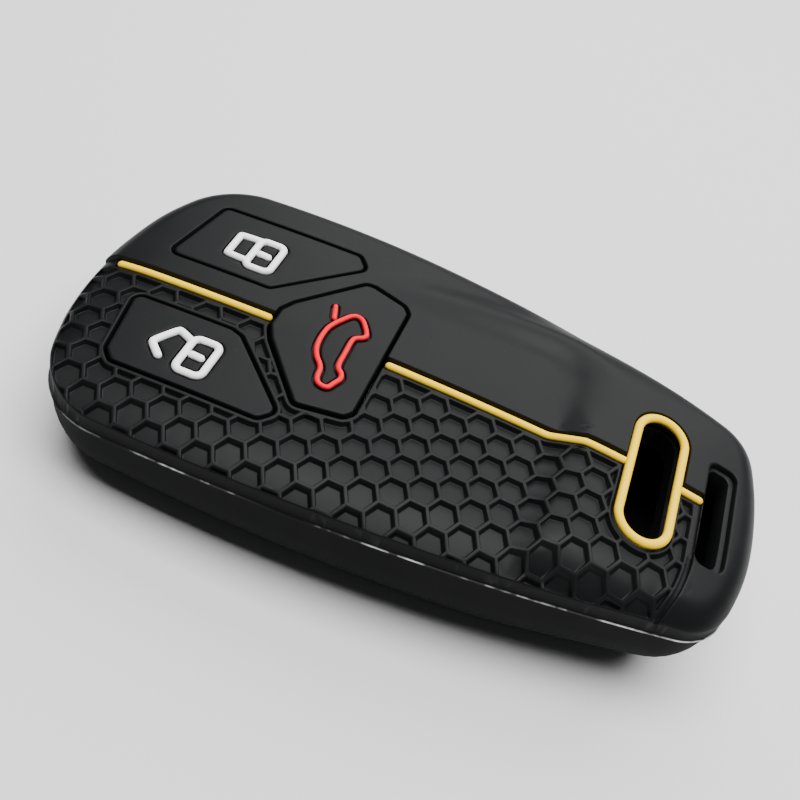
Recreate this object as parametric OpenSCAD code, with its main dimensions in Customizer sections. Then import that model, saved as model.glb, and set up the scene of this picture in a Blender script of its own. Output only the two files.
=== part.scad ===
// Soft silicone cover for a car remote: a black sleeve with a honeycomb half, a smooth half,
// three push pads with coloured icons, a yellow stripe, a rimmed window and a key-ring slot.
// X runs along the cover to its ring end, Y across it to the smooth side, Z up from the back.

/* [Body] */
// Length of the cover
body_l = 83.6; // [78:0.2:92]
// Width of the cover at its widest
body_w = 43.4; // [41:0.2:47]
// Height of the honeycomb face at the top of its crown, above the back
body_h = 17; // [15:0.2:20]
// Radius of the long sides in plan
side_r = 220; // [180:5:260]
// Place of the widest point along the length
side_x = -18; // [-20:0.5:-12]
// Radius of the plain end in plan
plain_end_r = 36; // [32:1:44]
// Corner radius at the plain end
plain_corner_r = 14; // [11:0.5:16]
// Radius of the ring end in plan
ring_end_r = 42; // [38:1:50]
// Corner radius at the ring end
ring_corner_r = 7; // [6.75:0.25:9]
// Radius of the rounding round the back
back_r = 6.2; // [4:0.1:6.2]
// Share of the parting line's height that this rounding takes
back_share = 0.86; // [0.5:0.02:0.9]
// Depth of the mould's parting line below the crown
parting_d = 3.7; // [3.2:0.1:5]
// Lean of the walls away from the parting line
draft = 0.3; // [0.1:0.05:0.5]

/* [Walls] */
// Thickness of the side walls
wall_t = 2; // [1.6:0.1:2.6]
// Thickness of the back
floor_t = 1.8; // [1.4:0.1:2.4]
// Thickness of the face under the honeycomb's ridges
face_t = 2.4; // [2:0.1:2.8]

/* [Face] */
// Radius of the face's long crown
crown_r = 400; // [350:10:600]
// Place of the crown's top along the length
crown_x = 16; // [10:0.5:20]
// Radius of the rolled edge along the honeycomb's side
roll_r = 16; // [13:0.5:24]
// Width of that rolled edge
roll_w = 7.5; // [6:0.25:9]
// Radius of the rounded edge round the rest of the face
edge_r = 3.2; // [2.4:0.1:3.4]
// Height of the smooth half above the honeycomb's ridges
step_h = 0.7; // [0.4:0.05:1]

/* [Ring end] */
// Height that the ring end stands above the rest of the face
ring_rise = 1.8; // [1:0.1:2.2]
// Radius of the ring end's own crown
ring_crown_r = 130; // [110:5:180]
// Distance of its top from the ring end
ring_crown_in = 24.8; // [22:0.2:27.6]
// Half width of the ring end's flat
ring_flat_half_w = 11.5; // [10:0.25:13]
// Radius of its rolled edges
ring_roll_r = 10; // [9.5:0.25:12]
// Start of the slope on the honeycomb half, from the ring end
ramp_in = 26.4; // [24.8:0.2:29.8]
// Length of the slope
ramp_l = 4; // [3:0.2:5]
// End of the low pan in the smooth half, from the ring end
pan_in = 25.7; // [24.8:0.1:27.8]
// Far edge of the pan, from the centre line
pan_half_w = 12.2; // [11:0.2:13]
// Run of the slope round the pan
pan_run = 3.2; // [2.4:0.2:4]
// Size of the cut corner of the pan's floor
pan_corner_r = 4; // [2:0.5:6]

/* [Window and slot] */
// Distance of the window's centre from the ring end
window_in = 14; // [13.6:0.1:15.3]
// Width of the window, inside its rim
window_w = 4.9; // [4.4:0.1:5.4]
// Length of the window, across the cover
window_l = 16.8; // [14:0.2:18]
// Width of the window's rim
rim_w = 1.05; // [0.8:0.05:1.2]
// Depth that the rim reaches into the face
rim_sunk = 1; // [0.6:0.1:1.2]
// Height of the rim above the smooth half
rim_up = 0.15; // [0.1:0.05:0.4]
// Distance of the key-ring slot's centre from the ring end
slot_in = 5.9; // [5.6:0.1:6.2]
// Place of its centre across the cover
slot_y = -0.5; // [-1:0.1:0.5]
// Width of the slot
slot_w = 4.3; // [4.1:0.1:4.8]
// Length of the slot, across the cover
slot_l = 14.2; // [12:0.1:16]
// Corner radius of the slot
slot_corner_r = 1.2; // [0.6:0.1:1.8]

/* [Honeycomb] */
// Pitch of the cells, from flat to flat
cell_pitch = 3.29; // [2.9:0.01:3.8]
// Width of the ridges between the cells
ridge_w = 0.42; // [0.3:0.02:0.6]
// Depth of the cells
cell_d = 0.7; // [0.4:0.05:0.9]
// Width of the plain border along the honeycomb's side
border_w = 0.7; // [0.5:0.05:1.2]
// Width of that border at the plain end
end_border_w = 1.4; // [1.3:0.1:1.8]
// Width of the rib round each pad and beside the stripe and the rim
rib_w = 0.45; // [0.35:0.05:0.7]
// Distance of the honeycomb's end from the ring end
comb_end_in = 8.6; // [8.5:0.1:9.2]
// Radius of that end beside the slot
comb_end_r = 20; // [16:1:30]
// Width of the groove outside it
groove_w = 0.4; // [0.3:0.05:0.6]
// Depth of that groove
groove_d = 0.25; // [0.1:0.05:0.6]
// Distance of one cell's centre, on which the pattern is laid out, from the honeycomb's end
cell_in = 30.9; // [29.2:0.1:32.2]
// Distance of that centre from the stripe's centre line
cell_off = 6.1; // [4.3:0.1:7.3]

/* [Stripe] */
// Place of the stripe's centre line across the cover
stripe_y = 0.3; // [-0.5:0.1:1]
// Width of the stripe
stripe_w = 1; // [0.8:0.05:1.2]
// Height of the stripe above the honeycomb's ridges
stripe_up = 0.4; // [0.2:0.05:0.6]
// Depth of the stripe's channel
stripe_sunk = 0.4; // [0.3:0.05:0.6]
// Distance of the stripe's start from the plain end
stripe_in = 1.8; // [1.4:0.1:3.8]
// Gap beside each coloured inlay
inlay_gap = 0.08; // [0.05:0.01:0.12]

/* [Pads] */
// Gap round each pad
pad_gap = 0.4; // [0.3:0.05:0.5]
// Distance of the lock and unlock pads from the plain end
pad_in = 7; // [6.4:0.1:7.8]
// Length of the lock and unlock pads
pad_l = 22; // [21:0.1:22.4]
// Width of the lock and unlock pads
pad_w = 11; // [10:0.1:11.2]
// Distance of their near edges from the stripe's centre line
pad_off = 4.1; // [3.9:0.1:4.8]
// Corner radius of the pads
pad_corner_r = 0.9; // [0.4:0.1:1.2]
// Distance of the boot pad from the plain end
boot_in = 22.6; // [22.4:0.1:23]
// Length of the boot pad
boot_l = 13.8; // [13:0.1:14]
// Half of the boot pad's width
boot_half_w = 10.6; // [9.6:0.1:10.8]
// Height of the unlock pad above the honeycomb's ridges
low_pad_up = 0.35; // [0.1:0.05:0.6]

/* [Icons] */
// Width of the icons' lines
icon_line_w = 0.84; // [0.6:0.02:0.9]
// Height of the icons above their pads
icon_up = 0.35; // [0.2:0.05:0.5]
// Depth of the icons in their pads
icon_sunk = 0.4; // [0.3:0.05:0.6]
// Length of the padlocks' cases, between the middles of their lines
case_l = 3.3; // [3:0.1:3.6]
// Width of the padlocks' cases, between the middles of their lines
case_w = 4.9; // [4.4:0.1:5.2]
// Corner radius of the cases
case_r = 1.1; // [0.8:0.1:1.4]
// Reach of the lock icon's shackle past its case
shackle_l = 2.2; // [2:0.1:2.4]
// Distance of the lock icon's centre from its pad's left end
lock_icon_in = 10.2; // [9.8:0.1:10.8]
// Distance of the lock icon's centre from the stripe's centre line
lock_icon_off = 9; // [8.7:0.1:9.5]
// Distance of the unlock icon's centre from its pad's left end
unlock_icon_in = 11.2; // [10.8:0.1:11.8]
// Distance of the unlock icon's centre from the stripe's centre line
unlock_icon_off = 10; // [9.3:0.1:10.3]
// Length of the keyhole dashes
dash_l = 1.9; // [1.4:0.1:2]
// Distance of the boot icon's left edge from its pad's left end
boot_icon_in = 6.3; // [5.8:0.1:6.8]
// Distance of the boot icon's near end from the stripe's centre line
boot_icon_off = 7.1; // [6.3:0.1:7.3]
// Width of the boot icon
boot_icon_w = 4.6; // [4.4:0.1:5]
// Length of the boot icon, across the cover
boot_icon_l = 11.8; // [11.4:0.1:12]
// Width of the boot icon's lines
boot_line_w = 0.6; // [0.5:0.02:0.7]

/* [Back opening] */
// Place of the opening's centre along the length
opening_x = -3; // [-6:0.5:0]
// Length of the opening
opening_l = 52; // [44:0.5:56]
// Width of the opening
opening_w = 23; // [20:0.5:25]
// Corner radius of the opening
opening_r = 9; // [5:0.5:10]

/* [Hidden] */
// Overrun of every cut
over = 1;
// Highest level that any cut has to clear
sky = body_h + ring_rise + step_h + over;
// Points on each long arc of the outline
arc_steps = 8;
// Steps on each short arc and each rounded corner
corner_steps = 5;
// Steps on the rounding round the back
back_steps = 4;
// Share of a rolled edge's radius that its run takes, short of upright
run_share = 0.875;
// Shares of half the width between which the rounded edge gives way to the rolled one
turn_shares = [0.5, 0.8];
// Steps on the rounded edge
edge_steps = 3;
// Steps of the honeycomb half's faceted face, along it before and after the slope, and across it
face_steps = [14, 5, 14];
plain_x = -body_l / 2;
ring_x = body_l / 2;
stripe_x = plain_x + stripe_in;
pad_x = plain_x + pad_in;
boot_x = plain_x + boot_in;
ring_crown_x = ring_x - ring_crown_in;
ramp_x = ring_x - ramp_in;
pan_x = ring_x - pan_in;
window_x = ring_x - window_in;
slot_x = ring_x - slot_in;
comb_end_x = ring_x - comb_end_in;
cell_x = comb_end_x - cell_in;
cell_y = stripe_y - cell_off;
lock_icon_x = pad_x + lock_icon_in;
lock_icon_y = stripe_y + lock_icon_off;
unlock_icon_x = pad_x + unlock_icon_in;
unlock_icon_y = stripe_y - unlock_icon_off;
boot_icon_x = boot_x + boot_icon_in;
boot_icon_y = stripe_y - boot_icon_off;
// Way that the pattern loses along the cover as it climbs the slope
climb_loss = norm([ramp_l, ring_rise]) - ramp_l;
cell_r = cell_pitch / sqrt(3);
stripe_half = stripe_w / 2;
channel_half = stripe_half + inlay_gap;
step_y = stripe_y + channel_half;
rim_l = window_l + 2 * rim_w;
rim_full_w = window_w + 2 * rim_w;
comb_top_y = stripe_y - channel_half - rib_w;
boot_end_x = boot_x + boot_l;
pad_wall = pad_gap + rib_w;
rim_x0 = window_x - rim_full_w / 2 - inlay_gap;
rim_x1 = window_x + rim_full_w / 2 + inlay_gap;
slot_x0 = slot_x - slot_w / 2;
slot_near_y = slot_y - slot_l / 2;
pan_corner_run = (pan_x + pan_half_w - 2 * pan_corner_r) / sqrt(2) + pan_corner_r;
pad_shares = [[0, 0], [0.071, 1], [0.929, 1], [1, 0.825], [0.598, 0]];
boot_shares = [
    [0, -0.2], [0, 0.2], [0.552, 1], [0.944, 0.89],
    [1, 0.816], [1, -0.816], [0.944, -0.89], [0.552, -1]];
boot_icon_shares = [
    [0.2, 0.86], [0.41, 1], [0.67, 1], [0.89, 0.88], [1, 0.8], [0.95, 0.75], [0.76, 0.71], [0.72, 0.65],
    [0.74, 0.5], [0.74, 0.28], [0.93, 0.23], [0.98, 0.16], [0.87, 0.08], [0.8, 0], [0.54, 0.01], [0.43, 0.08],
    [0.41, 0.21], [0.13, 0.32], [0, 0.46], [0, 0.68], [0.1, 0.79]];
boot_lid_shares = [[0.02, 0.86], [-0.11, 1.02]];
shackle_shares = [[0, -0.38], [-1, -0.36], [-1, 0.36], [0, 0.38]];
open_shackle_shares = [[0, 0.43], [-0.6, 0.56], [-0.86, 0.53], [-1.52, -0.03], [-0.8, -0.34]];

// Plan outline: five tangent arcs on each side of the centre line

function sum_sq(v) = v * v;
// Centre of a circle at distances a and b from p and q, on the left of the way from p to q
function met(p, q, a, b) =
    let (d = norm(q - p), u = (q - p) / d, t = (sum_sq(a) - sum_sq(b) + sum_sq(d)) / (2 * d),
         h = sqrt(sum_sq(a) - sum_sq(t)))
    p + t * u + h * [-u[1], u[0]];
function bearing(p, q) = atan2(q[1] - p[1], q[0] - p[0]);
function arc(c, r, a, b, n) =
    [for (i = [0:n - 1]) let (t = a + (b - a) * i / n) c + r * [cos(t), sin(t)]];

plain_c = [plain_x + plain_end_r, 0];
ring_c = [ring_x - ring_end_r, 0];
side_c = [side_x, body_w / 2 - side_r];
plain_corner_c = met(side_c, plain_c, side_r - plain_corner_r, plain_end_r - plain_corner_r);
ring_corner_c = met(ring_c, side_c, ring_end_r - ring_corner_r, side_r - ring_corner_r);
plain_a = bearing(plain_c, plain_corner_c);
side_a = bearing(side_c, plain_corner_c);
side_b = bearing(side_c, ring_corner_c);
ring_b = bearing(ring_c, ring_corner_c);

function far_half(inset) = concat(
    arc(plain_c, plain_end_r - inset, 180, plain_a, corner_steps),
    arc(plain_corner_c, plain_corner_r - inset, plain_a, side_a, arc_steps),
    arc(side_c, side_r - inset, side_a, side_b, 2 * arc_steps),
    arc(ring_corner_c, ring_corner_r - inset, side_b, ring_b, arc_steps),
    arc(ring_c, ring_end_r - inset, ring_b, 0, corner_steps));
function flipped(pts) = [for (i = [len(pts) - 1:-1:0]) [pts[i][0], -pts[i][1]]];
function plan(inset) =
    let (far = far_half(inset), near = flipped(far), tip = [ring_x - inset, 0])
    concat(far, [tip], [for (i = [0:len(near) - 2]) near[i]]);

// Outline tools: a mitred offset, rounded corners and a line of even width

function unit(v) = v / norm(v);
function side_of(p, q) = let (u = unit(q - p)) [-u[1], u[0]];
function shifted(p, m, n, d) = p + d * (m + n) / (1 + m * n);
function grown(pts, d) =
    let (n = len(pts))
    [for (i = [0:n - 1])
        shifted(pts[i], side_of(pts[(i + n - 1) % n], pts[i]), side_of(pts[i], pts[(i + 1) % n]), d)];
function edge_of(pts, d) =
    let (n = len(pts))
    [for (i = [0:n - 1])
        let (m = side_of(pts[max(i - 1, 0)], pts[max(i, 1)]),
             k = side_of(pts[min(i, n - 2)], pts[min(i + 1, n - 1)]))
        shifted(pts[i], m, k, d)];
function rounded(pts, r) =
    let (n = len(pts))
    [for (i = [0:n - 1])
        let (p = pts[i], u = unit(pts[(i + n - 1) % n] - p), v = unit(pts[(i + 1) % n] - p),
             half = acos(u * v) / 2, c = p + r / sin(half) * unit(u + v),
             a = bearing(c, p + r / tan(half) * u), b = bearing(c, p + r / tan(half) * v),
             turn = ((b - a + 540) % 360) - 180)
        for (k = [0:corner_steps]) let (t = a + turn * k / corner_steps) c + r * [cos(t), sin(t)]];

module line_shape(pts, w) {
    left = edge_of(pts, w / 2);
    right = edge_of(pts, -w / 2);
    polygon(concat(left, [for (i = [len(pts) - 1:-1:0]) right[i]]));
}

module loop_shape(pts, w) {
    difference() {
        polygon(grown(pts, w / 2));
        polygon(grown(pts, -w / 2));
    }
}

module obround(l, w) {
    square([w, l - w], center = true);
    for (s = [-1, 1]) translate([0, s * (l - w) / 2]) circle(d = w, $fn = 48);
}

// Face: heights of its two halves

function run_drop(run, r) = r - sqrt(sum_sq(r) - sum_sq(min(max(run, 0), run_share * r)));
function crown_z(x, top, cx, r) = top - r + sqrt(sum_sq(r) - sum_sq(x - cx));
function base_z(x) = crown_z(x, body_h, crown_x, crown_r);
function ring_z(x, y) =
    crown_z(x, body_h + ring_rise, ring_crown_x, ring_crown_r)
    - run_drop(abs(y) - ring_flat_half_w, ring_roll_r);
function ramp_z(x) = body_h + (x - ramp_x) * ring_rise / ramp_l;
function near_run(x, y) =
    let (c = [side_x, side_r - body_w / 2])
    roll_w - side_r + norm([x, y] - c);
function ridge_z(x, y) = max(base_z(x), min(ring_z(x, y), ramp_z(x)));
function comb_z(x, y) = ridge_z(x, y) - run_drop(near_run(x, y), roll_r);
function pan_z(x, y) =
    body_h + max(x - pan_x, y - pan_half_w, (x + y) / sqrt(2) - pan_corner_run) * ring_rise / pan_run;
function smooth_z(x, y) = step_h + max(base_z(x), min(ring_z(x, y), pan_z(x, y)));
function parting_z(x) = base_z(x) - parting_d;

// Closed solid between a lowest ring of points and the rings above it
module stacked(rings) {
    n = len(rings[0]);
    m = len(rings);
    polyhedron(points = [for (ring = rings) each ring], faces = concat(
        [[for (i = [n - 1:-1:0]) i]],
        [for (j = [0:m - 2]) for (i = [0:n - 1])
            [j * n + i, j * n + (i + 1) % n, (j + 1) * n + (i + 1) % n, (j + 1) * n + i]],
        [[for (i = [0:n - 1]) (m - 1) * n + i]]), convexity = 4);
}

function spread(a, b, n) = [for (i = [0:n]) a + (b - a) * i / n];

// Solid under the honeycomb half's face, lowered by drop
module comb_form(drop) {
    xs = concat(spread(plain_x - over, ramp_x, face_steps[0]),
        spread(ramp_x + ramp_l, ring_x + over, face_steps[1]));
    ys = spread(-body_w / 2 - over, step_y + over, face_steps[2]);
    n = len(ys);
    m = len(xs);
    top = [for (x = xs) for (y = ys) [x, y, comb_z(x, y) - drop]];
    under = [for (x = xs) for (y = ys) [x, y, -over]];
    k = n * m;
    polyhedron(points = concat(top, under), faces = concat(
        [for (i = [0:m - 2]) for (j = [0:n - 2])
            let (a = i * n + j) each [[a, a + 1, a + n], [a + 1, a + n + 1, a + n]]],
        [for (i = [0:m - 2]) for (j = [0:n - 2])
            let (a = k + i * n + j) each [[a, a + n, a + 1], [a + 1, a + n, a + n + 1]]],
        [for (i = [0:m - 2]) for (j = [0, n - 1])
            let (a = i * n + j, b = a + n)
            j == 0 ? [a, b, b + k, a + k] : [b, a, a + k, b + k]],
        [for (j = [0:n - 2]) for (i = [0, m - 1])
            let (a = i * n + j, b = a + 1)
            i == 0 ? [b, a, a + k, b + k] : [a, b, b + k, a + k]]), convexity = 6);
}

// Solid of a section swept along a crown whose top is at top and x
module crowned(r, x, top) {
    span = 2 * asin(body_l / r);
    translate([x, 0, top - r])
        rotate([0, -90, -90])
            rotate([0, 0, -span / 2])
                rotate_extrude(angle = span, $fn = 720)
                    translate([r, 0]) children();
}

module base_form(drop) {
    deep = body_h + over;
    crowned(crown_r - drop, crown_x, body_h - drop)
        translate([-deep, -body_w]) square([deep, 2 * body_w]);
}

module ring_form(drop) {
    deep = body_h + over;
    r = ring_roll_r - drop;
    half = ring_flat_half_w;
    crowned(ring_crown_r - drop, ring_crown_x, body_h + ring_rise - drop) {
        translate([-deep, -half - r]) square([deep - r, 2 * (half + r)]);
        translate([-deep, -half]) square([deep, 2 * half]);
        for (s = [-1, 1]) translate([-r, s * half]) circle(r = r, $fn = 96);
    }
}

// Space above one of the slopes round the pan, which climbs in the direction turn from start on
module above_slope(turn, start) {
    low = body_h + step_h;
    slope = ring_rise / pan_run;
    back = -2 * body_l;
    rotate([0, 0, turn])
        translate([0, body_l, 0])
            rotate([90, 0, 0])
                linear_extrude(2 * body_l)
                    polygon([[start - (low - body_h / 2) / slope, body_h / 2],
                        [start + (sky - low) / slope, sky], [back, sky], [back, body_h / 2]]);
}

// Space above the pan: sloped at its end, at its far edge and across the corner between them
module pan_space() {
    intersection() {
        above_slope(0, pan_x);
        above_slope(90, pan_half_w);
        above_slope(45, pan_corner_run);
    }
}

module smooth_form() {
    base_form(-step_h);
    difference() {
        ring_form(-step_h);
        pan_space();
    }
}

module beyond(y) {
    translate([-body_l, y, -over]) cube([2 * body_l, body_w, sky + 2 * over]);
}

// Upright prism from the middle of the pocket to above the face
module prism() {
    translate([0, 0, body_h / 2]) linear_extrude(sky) children();
}

// Sleeve

function flat_ring(inset, z) = [for (p = plan(inset)) [p[0], p[1], z]];
function foot_rings(inset, z, run) =
    [for (i = [0:back_steps]) let (a = 90 * i / back_steps)
        [for (p = plan(inset + run * (1 - sin(a))))
            [p[0], p[1], z + (1 - cos(a)) * (back_share * parting_z(p[0]) - z)]]];
function turned(y) = min(max((-2 * y / body_w - turn_shares[0]) / (turn_shares[1] - turn_shares[0]), 0), 1);
function edge_z(p, drop) =
    let (x = p[0], y = p[1], w = turned(y))
    (y > step_y || x > comb_end_x - border_w ? smooth_z(x, y) : comb_z(x, y)) + w * over - (1 - w) * drop;
function edge_ring(inset, drop) = [for (p = plan(inset)) [p[0], p[1], edge_z(p, drop)]];

// Closed tub with a rounded foot, and a rounded edge below the face
module tub() {
    steep = asin(run_share);
    run = run_share * edge_r;
    stacked(concat(
        foot_rings(draft, 0, back_r),
        [[for (p = plan(0)) [p[0], p[1], parting_z(p[0])]]],
        [for (i = [0:edge_steps - 1]) let (a = steep * (1 - i / edge_steps))
            edge_ring(draft + run - edge_r * sin(a), edge_r * (1 - cos(a)))],
        [edge_ring(draft + run + over / 2, -over / 10)],
        [flat_ring(draft + run + over, sky + over)]));
}

module moulding() {
    intersection() {
        tub();
        union() {
            comb_form(0);
            intersection() {
                smooth_form();
                union() {
                    beyond(step_y);
                    ring_corner();
                }
            }
        }
    }
}

// Space round the slot's near end, outside the groove at the honeycomb's end
module ring_corner() {
    prism()
        difference() {
            translate([comb_end_x - comb_end_r, -body_w]) square([body_l, body_w]);
            comb_field(rib_w + groove_w);
        }
}

module key_space() {
    intersection() {
        stacked(concat(foot_rings(wall_t, floor_t, back_r - wall_t), [flat_ring(wall_t, sky)]));
        base_form(face_t);
    }
}

function laid_x(x) = x - climb_loss * min(max((x - ramp_x) / ramp_l, 0), 1);

module cell_space(x, y) {
    r = cell_r - ridge_w / sqrt(3);
    slope_x = (comb_z(x + r / 2, y) - comb_z(x - r / 2, y)) / r;
    slope_y = (comb_z(x, y + r / 2) - comb_z(x, y - r / 2)) / r;
    intersection() {
        translate([x, y, body_h / 2]) linear_extrude(sky - body_h / 2) circle(r = r, $fn = 6);
        translate([x, y, comb_z(x, y) - cell_d])
            rotate([atan(slope_y), -atan(slope_x), 0])
                translate([-2 * cell_r, -2 * cell_r, 0])
                    cube([4 * cell_r, 4 * cell_r, body_h / 2]);
    }
}

// Plan of the honeycomb's field: straight beside the slot, then curved to the near edge
module comb_field(extra) {
    translate([-body_l, slot_near_y]) square([body_l + comb_end_x + extra, body_w]);
    translate([-body_l, -body_w]) square([body_l + comb_end_x - comb_end_r, 2 * body_w]);
    translate([comb_end_x - comb_end_r, slot_near_y]) circle(r = comb_end_r + extra, $fn = 96);
}

// Plan whose inset turns from end_border_w at the plain end to border_w along the honeycomb's side
function border_plan() =
    let (ends = plan(end_border_w), side = plan(border_w))
    [for (i = [0:len(ends) - 1]) ends[i] + turned(ends[i][1]) * (side[i] - ends[i])];

// Plan of the cells, inside every border
module comb_area() {
    difference() {
        intersection() {
            polygon(border_plan());
            comb_field(0);
        }
        translate([-body_l, comb_top_y]) square([2 * body_l, body_w]);
        side_pad_shape(-1, pad_wall);
        boot_pad_shape(pad_wall);
        translate([window_x, 0]) obround(rim_l + 2 * rib_w, rim_full_w + 2 * rib_w);
    }
}

module comb_groove() {
    difference() {
        prism()
            difference() {
                comb_field(rib_w + groove_w);
                comb_field(rib_w);
                translate([-body_l, slot_near_y]) square([body_l + slot_x, body_w]);
            }
        comb_form(groove_d);
    }
}

module comb_cells() {
    step_x = 1.5 * cell_r;
    columns = ceil(body_l / step_x);
    rows = ceil(body_w / cell_pitch);
    intersection() {
        union() {
            for (i = [-columns:columns])
                for (j = [-rows:rows])
                    let (x = laid_x(cell_x + i * step_x), y = cell_y + (j + (i % 2 == 0 ? 0 : 0.5)) * cell_pitch)
                    if (x > plain_x && x < comb_end_x + cell_r)
                        if (y > -body_w / 2 && y < comb_top_y + cell_r)
                            cell_space(x, y);
        }
        prism() comb_area();
    }
}

module back_opening() {
    translate([opening_x, 0, -over])
        linear_extrude(body_h / 2)
            polygon(rounded(box_points(opening_l, opening_w), opening_r));
}

module slot_space() {
    translate([slot_x, slot_y, -over])
        linear_extrude(sky + 2 * over)
            polygon(rounded(box_points(slot_w, slot_l), slot_corner_r));
}

module sleeve() {
    color([0.07, 0.07, 0.075])
        difference() {
            moulding();
            key_space();
            comb_cells();
            comb_groove();
            prism() side_pad_shape(1, pad_gap);
            prism() side_pad_shape(-1, pad_gap);
            prism() boot_pad_shape(pad_gap);
            stripe_channel(stripe_x - inlay_gap, boot_x - pad_wall);
            stripe_channel(boot_end_x + pad_wall, window_x);
            stripe_channel(window_x, slot_x);
            rim_channel();
            back_opening();
            slot_space();
        }
}

// Yellow inlays

module stripe_channel(x0, x1) {
    difference() {
        prism() translate([x0, stripe_y - channel_half]) square([x1 - x0, 2 * channel_half]);
        comb_form(stripe_sunk);
    }
}

module stripe_piece(x0, x1) {
    color([0.9, 0.78, 0.22])
        difference() {
            intersection() {
                prism() translate([x0, stripe_y - stripe_half]) square([x1 - x0, stripe_w]);
                comb_form(-stripe_up);
            }
            comb_form(stripe_sunk);
        }
}

module stripe_left() {
    stripe_piece(stripe_x, boot_x - pad_wall - inlay_gap);
}

module stripe_middle() {
    stripe_piece(boot_end_x + pad_wall + inlay_gap, rim_x0);
}

module stripe_tail() {
    stripe_piece(rim_x1, slot_x0);
}

module rim_channel() {
    difference() {
        prism() translate([window_x, 0]) obround(rim_l + 2 * inlay_gap, rim_full_w + 2 * inlay_gap);
        ring_form(rim_sunk);
    }
    prism() translate([window_x, 0]) obround(window_l, window_w);
}

module window_rim() {
    color([0.9, 0.78, 0.22])
        difference() {
            intersection() {
                prism() translate([window_x, 0]) obround(rim_l, rim_full_w);
                ring_form(-step_h - rim_up);
            }
            ring_form(rim_sunk);
            prism() translate([window_x, 0]) obround(window_l, window_w);
        }
}

// Pads

module side_pad_shape(side, gap) {
    pts = [for (p = pad_shares) [pad_x + p[0] * pad_l, stripe_y + side * (pad_off + p[1] * pad_w)]];
    turned_pts = side > 0 ? pts : [for (i = [len(pts) - 1:-1:0]) pts[i]];
    polygon(rounded(grown(turned_pts, gap), pad_corner_r + gap));
}

module boot_pad_shape(gap) {
    pts = [for (p = boot_shares) [boot_x + p[0] * boot_l, stripe_y + p[1] * boot_half_w]];
    polygon(rounded(grown(pts, gap), pad_corner_r + gap));
}

// A pad: the plan given first, its top at up above the ridges, with the later plans sunk into it
module pad(up) {
    color([0.08, 0.08, 0.085])
        difference() {
            intersection() {
                prism() children(0);
                base_form(-up);
            }
            base_form(face_t);
            difference() {
                prism() children([1:$children - 1]);
                base_form(icon_sunk - up);
            }
        }
}

module lock_pad() {
    pad(step_h) {
        side_pad_shape(1, 0);
        lock_case_shape(inlay_gap);
        lock_shackle_shape(inlay_gap);
        lock_keyhole_shape(inlay_gap);
    }
}

module unlock_pad() {
    pad(low_pad_up) {
        side_pad_shape(-1, 0);
        unlock_case_shape(inlay_gap);
        unlock_shackle_shape(inlay_gap);
        unlock_keyhole_shape(inlay_gap);
    }
}

module boot_pad() {
    pad(step_h) {
        boot_pad_shape(0);
        boot_outline_shape(inlay_gap);
        boot_lid_shape(inlay_gap);
    }
}

// Icons

function box_points(l, w) = [[-l / 2, -w / 2], [-l / 2, w / 2], [l / 2, w / 2], [l / 2, -w / 2]];

module case_shape(gap) {
    line = icon_line_w / 2 + gap;
    difference() {
        polygon(rounded(grown(box_points(case_l, case_w), line), case_r + line));
        polygon(rounded(grown(box_points(case_l, case_w), -line), case_r - line));
    }
}

module shackle_shape(shares, gap) {
    edge = (case_l + icon_line_w) / 2 + inlay_gap;
    pts = [for (p = shares) [p[0] * shackle_l - edge, p[1] * case_w]];
    line_shape(pts, icon_line_w + 2 * gap);
}

module dash_shape(gap) {
    square([dash_l + 2 * gap, icon_line_w + 2 * gap], center = true);
}

module lock_case_shape(gap) { translate([lock_icon_x, lock_icon_y]) case_shape(gap); }
module lock_shackle_shape(gap) { translate([lock_icon_x, lock_icon_y]) shackle_shape(shackle_shares, gap); }
module lock_keyhole_shape(gap) { translate([lock_icon_x, lock_icon_y]) dash_shape(gap); }
module unlock_case_shape(gap) { translate([unlock_icon_x, unlock_icon_y]) case_shape(gap); }
module unlock_shackle_shape(gap) {
    translate([unlock_icon_x, unlock_icon_y]) shackle_shape(open_shackle_shares, gap);
}
module unlock_keyhole_shape(gap) { translate([unlock_icon_x, unlock_icon_y]) dash_shape(gap); }

function boot_icon_points(shares) =
    [for (p = shares) [boot_icon_x + p[0] * boot_icon_w, boot_icon_y + p[1] * boot_icon_l]];
module boot_outline_shape(gap) { loop_shape(boot_icon_points(boot_icon_shares), boot_line_w + 2 * gap); }
module boot_lid_shape(gap) { line_shape(boot_icon_points(boot_lid_shares), boot_line_w + 2 * gap); }

module icon(up, tint) {
    color(tint)
        difference() {
            intersection() {
                prism() children();
                base_form(-up - icon_up);
            }
            base_form(icon_sunk - up);
        }
}

module lock_case() { icon(step_h, "white") lock_case_shape(0); }
module lock_shackle() { icon(step_h, "white") lock_shackle_shape(0); }
module lock_keyhole() { icon(step_h, "white") lock_keyhole_shape(0); }
module unlock_case() { icon(low_pad_up, "white") unlock_case_shape(0); }
module unlock_shackle() { icon(low_pad_up, "white") unlock_shackle_shape(0); }
module unlock_keyhole() { icon(low_pad_up, "white") unlock_keyhole_shape(0); }
module boot_outline() { icon(step_h, "crimson") boot_outline_shape(0); }
module boot_lid() { icon(step_h, "crimson") boot_lid_shape(0); }

sleeve();
lock_pad();
unlock_pad();
boot_pad();
stripe_left();
stripe_middle();
stripe_tail();
window_rim();
lock_case();
lock_shackle();
lock_keyhole();
unlock_case();
unlock_shackle();
unlock_keyhole();
boot_outline();
boot_lid();
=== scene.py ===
"""Looks of the silicone key fob cover: sleeve, push pads, yellow beads, window rim and icons."""

import math

import bmesh
import bpy
import numpy as np
from mathutils import Matrix, Vector
from mathutils.geometry import delaunay_2d_cdt


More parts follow.
